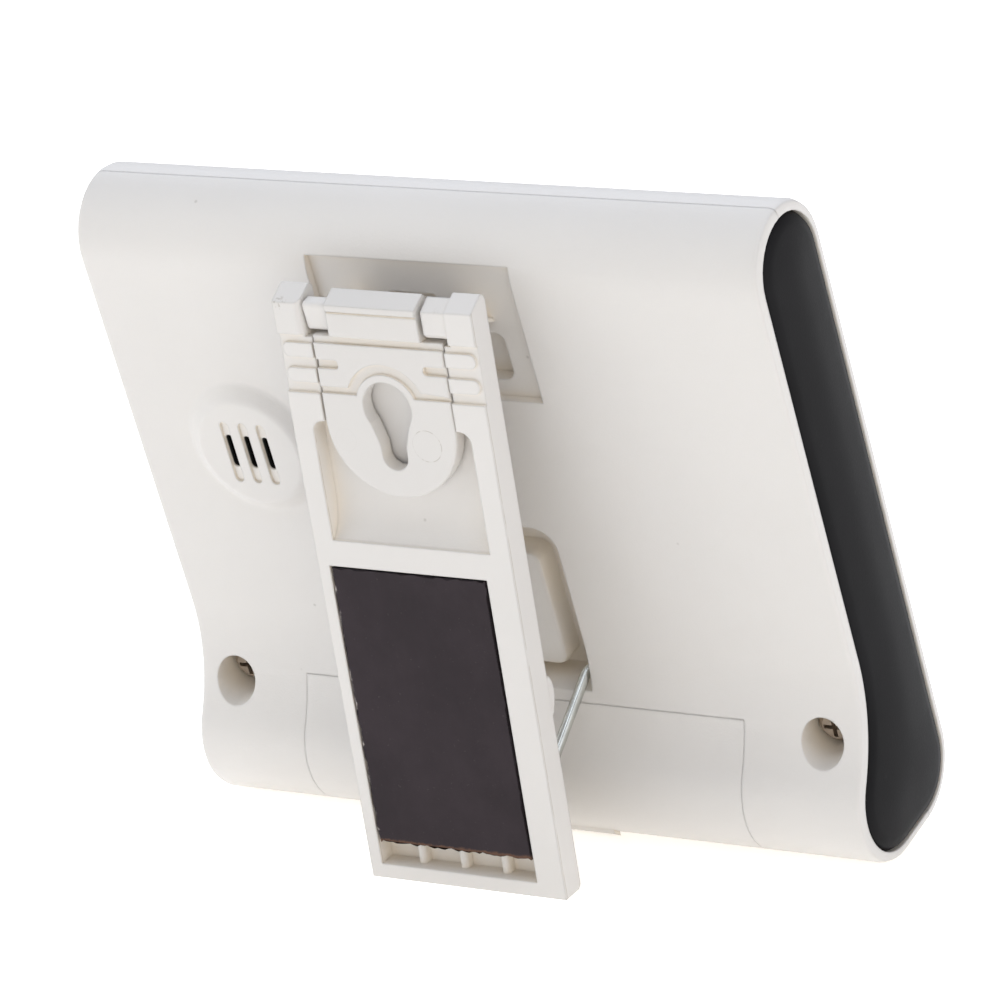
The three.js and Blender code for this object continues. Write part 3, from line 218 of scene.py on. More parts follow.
class Signal:
    """A shader socket that can be used in sums: each sum adds its Math nodes."""

    def __init__(self, finish, socket):
        self.finish = finish
        self.socket = socket

    def maths(self, operation, *parts):
        return self.finish.node("ShaderNodeMath", {"operation": operation}, dict(enumerate(parts)))

    def __add__(self, other):
        return self.maths("ADD", self, other)

    def __radd__(self, other):
        return self.maths("ADD", other, self)

    def __sub__(self, other):
        return self.maths("SUBTRACT", self, other)

    def __rsub__(self, other):
        return self.maths("SUBTRACT", other, self)

    def __mul__(self, other):
        return self.maths("MULTIPLY", self, other)

    def __rmul__(self, other):
        return self.maths("MULTIPLY", other, self)

    def above(self, low, high):
        """0 below low, 1 above high, and a smooth step between them."""
        return self.finish.node(
            "ShaderNodeMapRange",
            {"interpolation_type": "SMOOTHSTEP"},
            {"Value": self, "From Min": low, "From Max": high},
        )


class Finish:
    """A procedural material: one principled surface and the nodes that vary it."""

    def __init__(self, name, **surface):
        self.material = bpy.data.materials.new(name)
        self.material.use_nodes = True
        self.tree = self.material.node_tree
        self.surface = self.tree.nodes["Principled BSDF"]
        for socket, value in surface.items():
            self.surface.inputs[socket.replace("_", " ")].default_value = value

    def node(self, kind, settings=None, inputs=None, output=0):
        """Adds a node, sets it up, then gives its sockets their values or links."""
        node = self.tree.nodes.new(kind)
        for key, value in (settings or {}).items():
            setattr(node, key, value)
        for key, value in (inputs or {}).items():
            self.plug(node.inputs[key], value)
        return Signal(self, node.outputs[output])

    def plug(self, socket, value):
        if isinstance(value, Signal):
            self.tree.links.new(value.socket, socket)
        else:
            socket.default_value = value

    def place(self, stretch=(1, 1, 1)):
        """The place on the piece, in metres, stretched along its axes."""
        here = self.node("ShaderNodeTexCoord", output="Object")
        return self.node(
            "ShaderNodeVectorMath", {"operation": "MULTIPLY"}, {0: here, 1: stretch}
        )

    def axis(self, letter):
        """One coordinate of the place on the piece, in metres."""
        return self.node("ShaderNodeSeparateXYZ", inputs={0: self.place()}, output=letter)

    def grain(self, size, detail=2.0, rough=0.5, stretch=(1, 1, 1)):
        """Noise from 0 to 1 whose features are about this many metres across."""
        return self.node(
            "ShaderNodeTexNoise",
            {"noise_dimensions": "3D"},
            {
                "Vector": self.place(stretch), "Scale": 1 / size,
                "Detail": detail, "Roughness": rough,
            },
        )

    def cells(self, size, stretch=(1, 1, 1)):
        """The distance to the nearest of scattered points, as a share of their spacing."""
        return self.node(
            "ShaderNodeTexVoronoi", None, {"Vector": self.place(stretch), "Scale": 1 / size}
        )

    def openness(self, reach):
        """1 on open faces and less in hollows of the piece, up to this far across."""
        return self.node(
            "ShaderNodeAmbientOcclusion", {"samples": 5, "only_local": True},
            {"Distance": reach}, output="AO",
        )

    def along(self, direction, origin):
        """How far the place lies along a direction from a point, in metres."""
        shifted = self.node(
            "ShaderNodeVectorMath", {"operation": "SUBTRACT"}, {0: self.place(), 1: origin}
        )
        return self.node(
            "ShaderNodeVectorMath", {"operation": "DOT_PRODUCT"}, {0: shifted, 1: direction},
            output="Value",
        )

    def facing(self, letter):
        """1 on faces that look along an axis of the piece, either way."""
        normal = self.node("ShaderNodeTexCoord", output="Normal")
        part = self.node("ShaderNodeSeparateXYZ", inputs={0: normal}, output=letter)
        return part.maths("ABSOLUTE", part).above(0.7, 0.9)

    def ring(self, middle, radius, width):
        """A thin ring round a point."""
        away = self.node(
            "ShaderNodeVectorMath", {"operation": "DISTANCE"}, {0: self.place(), 1: middle},
            output="Value",
        )
        return away.above(radius - width, radius) - away.above(radius, radius + width)

    def spot(self, middle, radius):
        """1 at a point, fading to 0 at this radius."""
        away = self.node(
            "ShaderNodeVectorMath", {"operation": "DISTANCE"}, {0: self.place(), 1: middle},
            output="Value",
        )
        return 1 - away.above(radius * 0.5, radius)

    def mix(self, mask, first, second):
        """The first colour where the mask is 0, and the second where it is 1."""
        return self.node(
            "ShaderNodeMix", {"data_type": "RGBA"}, {0: mask, 6: first, 7: second}, output=2
        )

    def soft_edges(self, radius):
        """The normal with the piece's sharp edges rounded over."""
        return self.node("ShaderNodeBevel", {"samples": 4}, {"Radius": radius}, output="Normal")

    def bumps(self, height, depth, strength, over=None):
        """The normal with this relief in it, over a normal that is already rounded."""
        inputs = {"Strength": strength, "Distance": depth, "Height": height}
        if over is not None:
            inputs["Normal"] = over
        return self.node("ShaderNodeBump", None, inputs)

    def wear(self, **links):
        """Gives the surface what varies over it, and returns the finished material."""
        for socket, value in links.items():
            self.plug(self.surface.inputs[socket.replace("_", " ")], value)
        return self.material


def colour(values, factor=1.0):
    """A colour of the settings, made lighter or darker, as a socket takes it."""
    return (*[min(1.0, value * factor) for value in values[:3]], 1.0)


def on_case(x, back, up):
    """The place of a point of the upright case, given in millimetres."""
    return LEAN @ (Vector((x, back, up)) * MM) + STAND_AT


def on_leaf(x, out, down):
    """The place of a point of the open leaf, given in millimetres from its pin and top."""
    across = Vector((x * MM, 0.0, 0.0))
    return PIN + across + LEAF_OUT * (out * MM) + LEAF_UP * (LEAF_TOP - down * MM)


# Mouldings and mesh helpers


def join_facets(mesh, crease):
    """Welds a mesh, merges its flat facets and marks the edges that stay sharp."""
    bmesh.ops.remove_doubles(mesh, verts=mesh.verts, dist=WELD)
    bmesh.ops.dissolve_limit(
        mesh, angle_limit=math.radians(0.4), verts=mesh.verts, edges=mesh.edges
    )
    for face in mesh.faces:
        face.smooth = True
    for edge in mesh.edges:
        edge.smooth = edge.is_manifold and edge.calc_face_angle(0.0) < math.radians(crease)


def finished(name, mesh, material, body, slot, *nodes):
    """Turns a bmesh into a piece that rides on a body and stands for its CAD nodes."""
    data = bpy.data.meshes.new(name)
    mesh.to_mesh(data)
    mesh.free()
    piece = bpy.data.objects.new(name, data)
    bpy.context.scene.collection.objects.link(piece)
    data.materials.append(material)
    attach(piece, body)
    if nodes:
        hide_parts(*nodes)
    return piece


def even_normals(piece):
    """Lets the large faces lead the shading, so that flat walls stay flat."""
    modifier = piece.modifiers.new("even_normals", "WEIGHTED_NORMAL")
    modifier.keep_sharp = True
    modifier.weight = 80


def node_mesh(node):
    """An editable copy of a CAD node's mesh."""
    mesh = bmesh.new()
    mesh.from_mesh(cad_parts[node].data)
    return mesh


def moulded(node, name, material, body, slot, shape=None):
    """A moulded piece with the outline of its CAD node, or one that is shaped a little."""
    mesh = node_mesh(node)
    join_facets(mesh, MOULDED_CREASE)
    if shape:
        shape(mesh)
    even_normals(finished(name, mesh, material, body, slot, node))


def shift_layer(mesh, direction, level, step):
    """Moves the points that lie at one level along a direction, to close a joint line."""
    for corner in mesh.verts:
        if abs((corner.co - STAND_AT).dot(direction) - level) < ON_LEVEL:
            corner.co += direction * step


def widen_outline(mesh, out, middle, step):
    """Moves the outer walls of a flat piece outward in its own plane."""
    moves = {}
    for corner in mesh.verts:
        way = Vector()
        for face in corner.link_faces:
            if abs(face.normal.dot(out)) < 0.5:
                way += face.normal
        way -= out * way.dot(out)
        if way.length > 0.1 and way.dot(corner.co - middle) > 0:
            moves[corner] = way.normalized() * step
    for corner, move in moves.items():
        corner.co += move


def crown(mesh, level, drop):
    """Domes the flat end face that lies at this level along X, down to its rounded edge."""
    side = math.copysign(1.0, level)

    def flat_faces():
        return [
            face for face in mesh.faces
            if face.normal.x * side > FLAT
            and abs(face.calc_center_median().x - level) < ON_LEVEL / 2
        ]

    rim = [
        (edge.verts[0].co.copy(), edge.verts[1].co.copy())
        for face in flat_faces() for edge in face.edges
        if any(other.normal.x * side < FLAT for other in edge.link_faces)
    ]
    low = Vector([min(corner.co[axis] for corner in mesh.verts) for axis in range(3)])
    high = Vector([max(corner.co[axis] for corner in mesh.verts) for axis in range(3)])
    for way in (1, 2):
        normal = Vector((0.0, float(way == 1), float(way == 2)))
        for cut in range(1, int((high[way] - low[way]) / DOME_STEP)):
            faces = flat_faces()
            parts = {part for face in faces for part in (*face.verts, *face.edges, face)}
            bmesh.ops.bisect_plane(
                mesh, geom=list(parts), plane_co=low + normal * (cut * DOME_STEP),
                plane_no=normal, dist=ON_LEVEL,
            )
    for corner in mesh.verts:
        beneath = (level - corner.co.x) * side
        if beneath < ON_LEVEL / 4:
            away = min(distance_to(corner.co, *line) for line in rim)
            left = max(0.0, 1 - away / DOME_REACH)
            corner.co.x = level - side * drop * left * left
        elif beneath < DOME_EDGE:
            corner.co.x -= side * drop * (1 - beneath / DOME_EDGE)
    for face in mesh.faces:
        face.smooth = True


def distance_to(point, start, end):
    """The distance from a point to a straight edge."""
    along = end - start
    share = (point - start).dot(along) / max(along.length_squared, 1e-18)
    return (point - start - along * min(1.0, max(0.0, share))).length


def paint(node, material):
    """Gives a CAD node that keeps its shape a better material."""
    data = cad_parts[node].data
    data.materials.clear()
    data.materials.append(material)


def sweep(mesh, path, radius, sides=16):
    """A round wire along a path of points."""
    rings = []
    side = None
    for index, point in enumerate(path):
        ahead = path[min(index + 1, len(path) - 1)] - path[max(index - 1, 0)]
        ahead.normalize()
        if side is None:
            side = ahead.orthogonal().normalized()
        side = (side - ahead * side.dot(ahead)).normalized()
        up = ahead.cross(side)
        ring = [
            mesh.verts.new(
                point
                + side * (radius * math.cos(turn * math.tau / sides))
                + up * (radius * math.sin(turn * math.tau / sides))
            )
            for turn in range(sides)
        ]
        rings.append(ring)
    for near, far in zip(rings, rings[1:]):
        for turn in range(sides):
            after = (turn + 1) % sides
            face = mesh.faces.new((near[turn], near[after], far[after], far[turn]))
            face.smooth = True
    mesh.faces.new(list(reversed(rings[0])))
    mesh.faces.new(rings[-1])


def bent(corners, radius, steps=7):
    """The path through these corners with each inner corner bent round."""
    path = [corners[0]]
    for before, corner, after in zip(corners, corners[1:], corners[2:]):
        start = corner + (before - corner).normalized() * radius
        end = corner + (after - corner).normalized() * radius
        for step in range(steps + 1):
            share = step / steps
            path.append(
                start * (1 - share) ** 2 + corner * (2 * share * (1 - share)) + end * share ** 2
            )
    path.append(corners[-1])
    return path


# Materials


def white_plastic(name, settings, grain_depth, tint, marks):
    """Fine-grained white moulding plastic: faint flow marks, dust specks and painted warm shade in
    the hollows.
    """
    finish = Finish(
        name, Specular_IOR_Level=0.42, Subsurface_Weight=settings.translucency,
        Subsurface_Radius=(1.0, 0.9, 0.8), Subsurface_Scale=0.6 * MM,
    )
    tone = finish.grain(26 * MM, detail=3.0)
    spots = finish.cells(5.5 * MM)
    size = finish.grain(9 * MM, detail=1.0)
    speck = (1 - spots.above(0.012, 0.05)) * size.above(0.55, 0.62)
    base = finish.mix(
        tone.above(0.3, 0.7),
        colour(settings.shell_colour, 0.985 * tint),
        colour(settings.shell_colour, 1.01 * tint),
    )
    # Painted shade: a warm white painted into the hollows, more the less open they are, for the
    # warm tone of their shade
    hollow = 1 - finish.openness(5 * MM).above(0.35, 0.95)
    base = finish.mix(hollow * settings.hollow_shade_strength, base, colour(settings.hollow_shade_colour))
    grain = finish.grain(0.28 * MM, detail=3.0, rough=0.6)
    relief = grain
    line, dirt, dark = marks(finish)
    if line:
        base = finish.mix(line * 0.55, base, LINE_BROWN)
        relief = relief - line * 0.8
    if dirt:
        base = finish.mix(dirt * 0.5, base, DIRT_BROWN)
        relief = relief - dirt * 0.6
    # Painted shade: black painted into the dark hollows that the marks give
    if dark:
        base = finish.mix(dark, base, SLOT_SHADE_BLACK)
    over = finish.soft_edges(settings.edge_radius)
    return finish.wear(
        Base_Color=finish.mix(speck * 0.35, base, SPECK_BROWN),
        Roughness=tone * 0.06 + grain * 0.08 + settings.shell_roughness,
        Normal=finish.bumps(relief, grain_depth * MM, 0.55, over),
    )


# Each of these gives a parting line, dirt and the painted shade of a dark hollow, or None where
# there is none


def slot_shade_marks(finish):
    """Painted shade: black painted inside the sound outlet's slots, under their grooves."""
    near = finish.spot(on_case(*OUTLET), OUTLET_RADIUS)
    under = 1 - finish.along(CASE_BACK, STAND_AT).above(*SLOT_LIP)
    return None, None, near.above(0.0, 0.05) * under


def leaf_marks(finish):
    """The parting line round the leaf's sides, and dirt in two nicks of its hooks."""
    height = finish.along(LEAF_OUT, PIN)
    waver = finish.grain(2.2 * MM, detail=4.0) * (0.22 * MM)
    broken = finish.grain(3.1 * MM, detail=3.0).above(0.36, 0.5)
    low = (height + waver).above(*LINE_LOW)
    high = (height + waver).above(*LINE_HIGH)
    specks = finish.grain(0.45 * MM, detail=3.0).above(0.5, 0.62)
    hook = finish.spot(on_leaf(*HOOK_DIRT), HOOK_DIRT_RADIUS)
    notch = finish.spot(on_leaf(*NOTCH_DIRT), NOTCH_DIRT_RADIUS)
    dirt = hook + notch * 0.4
    return (low - high) * finish.facing("X") * broken, dirt * specks, None


def tab_marks(finish):
    """The rings that two ejector pins left on the tab's face."""
    broken = finish.grain(0.8 * MM, detail=4.0).above(0.45, 0.6)
    wide = finish.ring(on_leaf(*WIDE_RING), WIDE_RING_RADIUS, 0.08 * MM)
    small = finish.ring(on_leaf(*SMALL_RING), SMALL_RING_RADIUS, 0.07 * MM)
    return None, wide * (broken + 0.15) + small * 0.12, None


def rubber(settings):
    """Soft black rubber: matte, with a low sheen, a cloudy grain and pale rubbed places."""
    finish = Finish(
        "grip_rubber", Specular_IOR_Level=0.1, Sheen_Weight=0.01, Sheen_Roughness=0.4
    )
    cloud = finish.grain(11 * MM, detail=4.0)
    grain = finish.grain(0.22 * MM, detail=2.0)
    rubbed = finish.grain(0.9 * MM, detail=5.0, rough=0.7).above(0.6, 0.85)
    base = finish.mix(
        cloud.above(0.25, 0.75),
        colour(settings.grip_colour, 0.8),
        colour(settings.grip_colour, 1.3),
    )
    over = finish.soft_edges(0.3 * MM)
    return finish.wear(
        Base_Color=finish.mix(rubbed * 0.12, base, RUBBED_GREY),
        Roughness=cloud * 0.14 + grain * 0.08 + 0.42,
        Normal=finish.bumps(grain, 0.02 * MM, 0.5, over),
    )


def magnet_rubber(settings):
    """Flexible magnet sheet: dark, with rolled streaks, pale dust and torn brown edges."""
    finish = Finish("magnet_rubber", Specular_IOR_Level=0.14)
    cloud = finish.grain(7 * MM, detail=5.0, rough=0.6)
    streak = finish.grain(0.9 * MM, detail=3.0, stretch=(1, 1, 0.06))
    dust = finish.grain(0.35 * MM, detail=2.0)
    base = finish.mix(
        cloud.above(0.3, 0.7),
        colour(settings.magnet_colour, 0.86),
        colour(settings.magnet_colour, 1.14),
    )
    low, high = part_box("magnet_sheet")
    foot_edge, side_edge = low[2], high[0]
    chip = finish.grain(0.7 * MM, detail=4.0, rough=0.7)
    upward = finish.axis("Z") + chip * (0.8 * MM)
    foot = 1 - upward.above(foot_edge + 0.7 * MM, foot_edge + 1.0 * MM)
    nick = finish.grain(2.6 * MM, detail=3.0).above(0.5, 0.62)
    sideways = finish.axis("X") + chip * (0.8 * MM)
    flank = sideways.above(side_edge + 0.16 * MM, side_edge + 0.3 * MM)
    base = finish.mix(dust.above(0.66, 0.8) * 0.2, base, MAGNET_DUST)
    base = finish.mix(foot * 0.8, base, MAGNET_FOOT)
    base = finish.mix(flank * nick * 0.8, base, MAGNET_CHIP)
    return finish.wear(
        Base_Color=base,
        Roughness=cloud * 0.12 + streak * 0.08 + 0.56,
        Normal=finish.bumps(streak * 0.5 + dust * 0.5 + chip * 0.4, 0.02 * MM, 0.6),
    )


def drawn_steel(name, tint, roughness):
    """Bright drawn or turned steel with fine scratches and duller patches."""
    finish = Finish(name, Metallic=1.0)
    scratch = finish.grain(0.25 * MM, detail=4.0)
    dull = finish.grain(2.5 * MM, detail=3.0)
    return finish.wear(
        Base_Color=finish.mix(dull.above(0.35, 0.7), colour(tint), colour(tint, 0.8)),
        Roughness=scratch * 0.14 + dull * 0.1 + roughness,
        Normal=finish.bumps(scratch, 0.008 * MM, 0.4),
    )


def plain_plastic(name, tint, roughness, grain_size=0.3):
    """An inner moulding or rubber piece in one colour, with its own fine grain."""
    finish = Finish(name, Specular_IOR_Level=0.4)
    cloud = finish.grain(6 * MM, detail=3.0)
    grain = finish.grain(grain_size * MM, detail=2.0)
    return finish.wear(
        Base_Color=finish.mix(cloud.above(0.3, 0.7), colour(tint, 0.92), colour(tint, 1.08)),
        Roughness=grain * 0.12 + roughness,
        Normal=finish.bumps(grain, 0.015 * MM, 0.5),
    )


def solder_mask():
    """Green lacquer over copper tracks."""
    finish = Finish("solder_mask", Coat_Weight=0.4, Coat_Roughness=0.15)
    track = finish.cells(3.2 * MM, (1, 1, 0.35))
    cloud = finish.grain(12 * MM, detail=2.0)
    lines = track.above(0.30, 0.36) - track.above(0.44, 0.5)
    return finish.wear(
        Base_Color=finish.mix(lines, LACQUER_GREEN, TRACK_GREEN),
        Roughness=cloud * 0.15 + 0.25,
        Normal=finish.bumps(lines, 0.035 * MM, 0.8),
    )


def cell_wrap():
    """A battery's printed sleeve: two plain colours and bare steel at the ends."""
    finish = Finish("cell_wrap", Coat_Weight=0.5, Coat_Roughness=0.2)
    along = finish.axis("X")
    band = along.above(9.9 * MM, 10.1 * MM)
    bare = along.above(21.2 * MM, 21.4 * MM) + (1 - along.above(-21.4 * MM, -21.2 * MM))
    cloud = finish.grain(4 * MM, detail=2.0)
    sleeve = finish.mix(band, SLEEVE_BLUE, SLEEVE_GOLD)
    return finish.wear(
        Base_Color=finish.mix(bare, sleeve, BARE_STEEL),
        Roughness=cloud * 0.1 + 0.28,
        Metallic=bare * 0.9,
    )


def window_glass():
    """The clear window, with a trace of haze."""
    finish = Finish("window_clear", Transmission_Weight=1.0, IOR=1.49)
    haze = finish.grain(14 * MM, detail=2.0)
    return finish.wear(
        Base_Color=finish.mix(haze, WINDOW_CLEAR, WINDOW_HAZE),
        Roughness=haze * 0.05 + 0.02,
    )


def display_glass():
    """The reflective back of the display, seen through its polariser."""
    finish = Finish("display_grey", Specular_IOR_Level=0.5)
    silk = finish.grain(0.5 * MM, detail=3.0, stretch=(0.2, 1, 1))
    cloud = finish.grain(30 * MM)
    return finish.wear(
        Base_Color=finish.mix(cloud, DISPLAY_DARK, DISPLAY_LIGHT),
        Roughness=silk * 0.1 + 0.22,
        Normal=finish.bumps(silk, 0.005 * MM, 0.3),
    )


# Settings


class TimerLooks(bpy.types.PropertyGroup):
    """Colours and fine sizes of the timer's finishes."""

    shell_colour: FloatVectorProperty(
        name="Case colour", description="White of the case and stand",
        subtype="COLOR", size=3, min=0, max=1, default=(0.665, 0.643, 0.622),
    )
    # The warm white painted into the hollows as shade
    hollow_shade_colour: FloatVectorProperty(
        name="Hollow shade colour", description="Warm white painted into the hollows as shade",
        subtype="COLOR", size=3, min=0, max=1, default=(0.86, 0.775, 0.655),
    )
    translucency: FloatProperty(
        name="Translucency", description="How far light spreads in the white plastic",
        subtype="FACTOR", min=0, max=1, default=0.12,
    )
    # How strongly that painted shade tints the hollows
    hollow_shade_strength: FloatProperty(
        name="Hollow shade strength", description="How strongly the painted warm shade tints the hollows",
        subtype="FACTOR", min=0, max=1, default=0.7,
    )
    shell_roughness: FloatProperty(
        name="Case roughness", description="How matte the case is",
        subtype="FACTOR", min=0, max=1, default=0.36,
    )
    edge_radius: FloatProperty(
        name="Edge radius", description="Rounding of moulded edges",
        subtype="DISTANCE", unit="LENGTH", min=0, max=1 * MM, default=0.34 * MM,
    )
    grip_colour: FloatVectorProperty(
        name="Grip colour", description="Black of the rubber ends",
        subtype="COLOR", size=3, min=0, max=1, default=(0.0072, 0.0068, 0.0076),
    )
    magnet_colour: FloatVectorProperty(
        name="Magnet colour", description="Dark brown of the magnet sheet",
        subtype="COLOR", size=3, min=0, max=1, default=(0.031, 0.0235, 0.0275),
    )
    ragged: FloatProperty(
        name="Ragged edge", description="How far the magnet's cut edge wanders",
        subtype="DISTANCE", unit="LENGTH", min=0, max=1 * MM, default=0.24 * MM,
    )
    joint_closing: FloatProperty(
        name="Joint closing", description="How far each edge closes a joint line",
        subtype="DISTANCE", unit="LENGTH", min=0, max=0.099 * MM, default=0.09 * MM,
    )
    tab_growth: FloatProperty(
        name="Tab growth", description="How far the tab's rim closes its gap",
        subtype="DISTANCE", unit="LENGTH", min=0, max=0.15 * MM, default=0.14 * MM,
    )
    grip_crown: FloatProperty(
        name="Grip crown", description="How much the rubber ends are domed",
        subtype="DISTANCE", unit="LENGTH", min=0, max=1 * MM, default=0.6 * MM,
    )
    screw_rise: FloatProperty(
        name="Screw rise", description="How far the case screws' heads stand up",
        subtype="DISTANCE", unit="LENGTH", min=0, max=2 * MM, default=0.7 * MM,
    )
    wire_colour: FloatVectorProperty(
        name="Wire colour", description="Tint of the steel wire",
        subtype="COLOR", size=3, min=0, max=1, default=(0.62, 0.63, 0.60),
    )
    wire_diameter: FloatProperty(
        name="Wire diameter", description="Thickness of the stand's wire",
        subtype="DISTANCE", unit="LENGTH", min=0, default=1.2 * MM,
    )
    wire_spread: FloatProperty(
        name="Wire spread", description="Distance between the middles of the wire's legs",
        subtype="DISTANCE", unit="LENGTH", min=0, default=16.9 * MM,
    )
    wire_bend: FloatProperty(
        name="Wire bend", description="Length of wire taken up by each bend",
        subtype="DISTANCE", unit="LENGTH", min=0, default=1.5 * MM,
    )
    button_colour: FloatVectorProperty(
        name="Button colour", description="Grey of the push buttons",
        subtype="COLOR", size=3, min=0, max=1, default=(0.09, 0.095, 0.1),
    )
    digits: StringProperty(
        name="Digits", description="The time that the display shows, in digits and colons",
        default="05:00",
    )


class TimerStage(bpy.types.PropertyGroup):
    """The studio: camera, floor and lights."""

    camera_place: FloatVectorProperty(
        name="Camera place", description="Where the camera stands", subtype="XYZ", size=3,
        unit="LENGTH", default=(-0.344906, 0.520409, 0.254089),
    )
    camera_turn: FloatVectorProperty(
        name="Camera turn", description="The camera's rotation", subtype="EULER", size=3,
        default=(math.radians(70.9524), math.radians(6.7155), math.radians(-148.8568)),
    )
    camera_lens: FloatProperty(
        name="Lens", description="Focal length of the camera",
        unit="CAMERA", min=1, default=217.145,
    )
    floor_radius: FloatProperty(
        name="Floor radius", description="Radius of the floor", unit="LENGTH", default=6.0,
    )
    floor_sides: IntProperty(
        name="Floor sides", description="Sides of the floor's outline", min=8, default=64,
    )
    light_power: FloatProperty(
        name="Lights", description="How strong all the lights are", min=0, default=1.0,
    )
    floor_glow: FloatProperty(
        name="Floor glow", description="Light that the floor gives from below",
        min=0, default=0.5,
    )
    sky: FloatProperty(
        name="Sky", description="Brightness of the surroundings", min=0, default=0.5,
    )


def looks():
    """The settings of the timer's finishes."""
    return bpy.context.scene.timer_looks


# Pieces


class TIMER_OT_case(bpy.types.Operator):
    """Dresses the two case halves and the battery door."""

    bl_idname = "timer.case"
    bl_label = "Case"

    def execute(self, context):
        plastic = white_plastic("case_white", looks(), 0.05, 1.0, slot_shade_marks)
        close = looks().joint_closing

        def shape_rear(mesh):
            shift_layer(mesh, CASE_BACK, SEAM + SEAM_HALF, -close)
            shift_layer(mesh, CASE_UP, DOOR_TOP + DOOR_GAP, -close)
            for side in (-1, 1):
                shift_layer(mesh, Vector((side, 0, 0)), DOOR_SIDE + DOOR_GAP, -close)

        def shape_front(mesh):
            shift_layer(mesh, CASE_BACK, SEAM - SEAM_HALF, close)

        def shape_door(mesh):
            shift_layer(mesh, CASE_UP, DOOR_TOP, close)
            for side in (-1, 1):
                shift_layer(mesh, Vector((side, 0, 0)), DOOR_SIDE, close)

        moulded("rear_shell", "rear_moulding", plastic, "case", "shell", shape=shape_rear)
        moulded("front_shell", "front_moulding", plastic, "case", "shell", shape=shape_front)
        moulded("battery_door", "door_moulding", plastic, "door", "shell", shape=shape_door)
        return {"FINISHED"}


class TIMER_OT_grips(bpy.types.Operator):
    """Dresses the two rubber ends."""

    bl_idname = "timer.grips"
    bl_label = "Rubber ends"

    def execute(self, context):
        black = rubber(looks())
        for side, end in (("left", 0), ("right", 1)):
            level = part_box(f"grip_{side}")[end][0]
            mesh = node_mesh(f"grip_{side}")
            join_facets(mesh, RUBBER_CREASE)
            crown(mesh, level, looks().grip_crown)
            finished(f"grip_pad_{side}", mesh, black, "case", "grip", f"grip_{side}")
        return {"FINISHED"}


class TIMER_OT_stand(bpy.types.Operator):
    """Dresses the stand's leaf and its hanging tab."""

    bl_idname = "timer.stand"
    bl_label = "Stand"

    def execute(self, context):
        leaf = white_plastic("leaf_white", looks(), 0.03, 0.985, leaf_marks)
        tab = white_plastic("tab_white", looks(), 0.03, 0.95, tab_marks)
        moulded("stand_leaf", "leaf_moulding", leaf, "stand", "shell")
        growth = looks().tab_growth
        moulded(
            "hang_tab", "tab_moulding", tab, "hanging_tab", "shell",
            shape=lambda mesh: widen_outline(mesh, LEAF_OUT, on_leaf(*TAB_MIDDLE), growth),
        )
        return {"FINISHED"}


class TIMER_OT_magnet(bpy.types.Operator):
    """Cuts the magnet sheet with its rough edges."""

    bl_idname = "timer.magnet"
    bl_label = "Magnet"

    def execute(self, context):
        mesh = node_mesh("magnet_sheet")
        bmesh.ops.remove_doubles(mesh, verts=mesh.verts, dist=WELD)
        bmesh.ops.dissolve_limit(
            mesh, angle_limit=math.radians(1.0), verts=mesh.verts, edges=mesh.edges
        )
        self.ragged_rim(mesh, looks().ragged)
        even_normals(finished(
            "magnet_cut", mesh, magnet_rubber(looks()), "stand", "magnet", "magnet_sheet"
        ))
        return {"FINISHED"}

    def ragged_rim(self, mesh, reach):
        """Cuts each long rim into short steps and pulls their corners in by odd amounts."""
        middle = sum((corner.co for corner in mesh.verts), Vector()) / len(mesh.verts)
        rims = [edge for edge in mesh.edges if edge.calc_length() > RIM_LENGTH]
        for rim in rims:
            steps = int(rim.calc_length() / RIM_STEP)
            bmesh.ops.subdivide_edges(mesh, edges=[rim], cuts=steps)
        for corner in mesh.verts:
            inward = middle - corner.co
            place = Vector((corner.co.x, 0.0, corner.co.z)) / RIM_WANDER
            fine = noise.noise(place * 2.3 + Vector((7.0, corner.co.y / MM, 0.0)))
            coarse = noise.noise(place)
            pull = reach * max(0.0, 0.45 + coarse + 0.8 * fine)
            if abs(inward.x) / MAGNET_HALF[0] > abs(inward.z) / MAGNET_HALF[1]:
                way = Vector((math.copysign(1.0, inward.x), 0.0, 0.0))
            else:
                way = Vector((0.0, 0.0, math.copysign(1.0, inward.z)))
            corner.co += way * pull


class TIMER_OT_screws(bpy.types.Operator):
    """Dresses the two case screws."""

    bl_idname = "timer.screws"
    bl_label = "Case screws"

    def execute(self, context):
        steel = drawn_steel("screw_steel", (0.44, 0.37, 0.30), 0.5)
        rise = looks().screw_rise

        def raise_head(mesh):
            for corner in mesh.verts:
                if (corner.co - STAND_AT).dot(CASE_BACK) > HEAD_ROOT:
                    corner.co += CASE_BACK * rise

        for number in (1, 2):
            moulded(
                f"case_screw_{number}", f"screw_{number}", steel, "case", "steel",
                shape=raise_head,
            )
        return {"FINISHED"}


class TIMER_OT_wire(bpy.types.Operator):
    """Bends the stand's wire."""

    bl_idname = "timer.wire"
    bl_label = "Wire"

    def execute(self, context):
        steel = drawn_steel("wire_steel", looks().wire_colour, 0.1)
        radius = looks().wire_diameter / 2
        low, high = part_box("wire_bail")
        pivot = Vector((0.0, high[1] - radius, low[2] + radius))
        seat = Vector((0.0, low[1] + radius, high[2] - radius))
        leg = looks().wire_spread / 2
        corners = [
            Vector((way, place.y, place.z))
            for way, place in (
                (low[0], seat), (-leg, seat), (-leg, pivot),
                (leg, pivot), (leg, seat), (high[0], seat),
            )
        ]
        mesh = bmesh.new()
        sweep(mesh, bent(corners, looks().wire_bend), radius)
        finished("wire_bent", mesh, steel, "wire", "wire", "wire_bail")
        return {"FINISHED"}


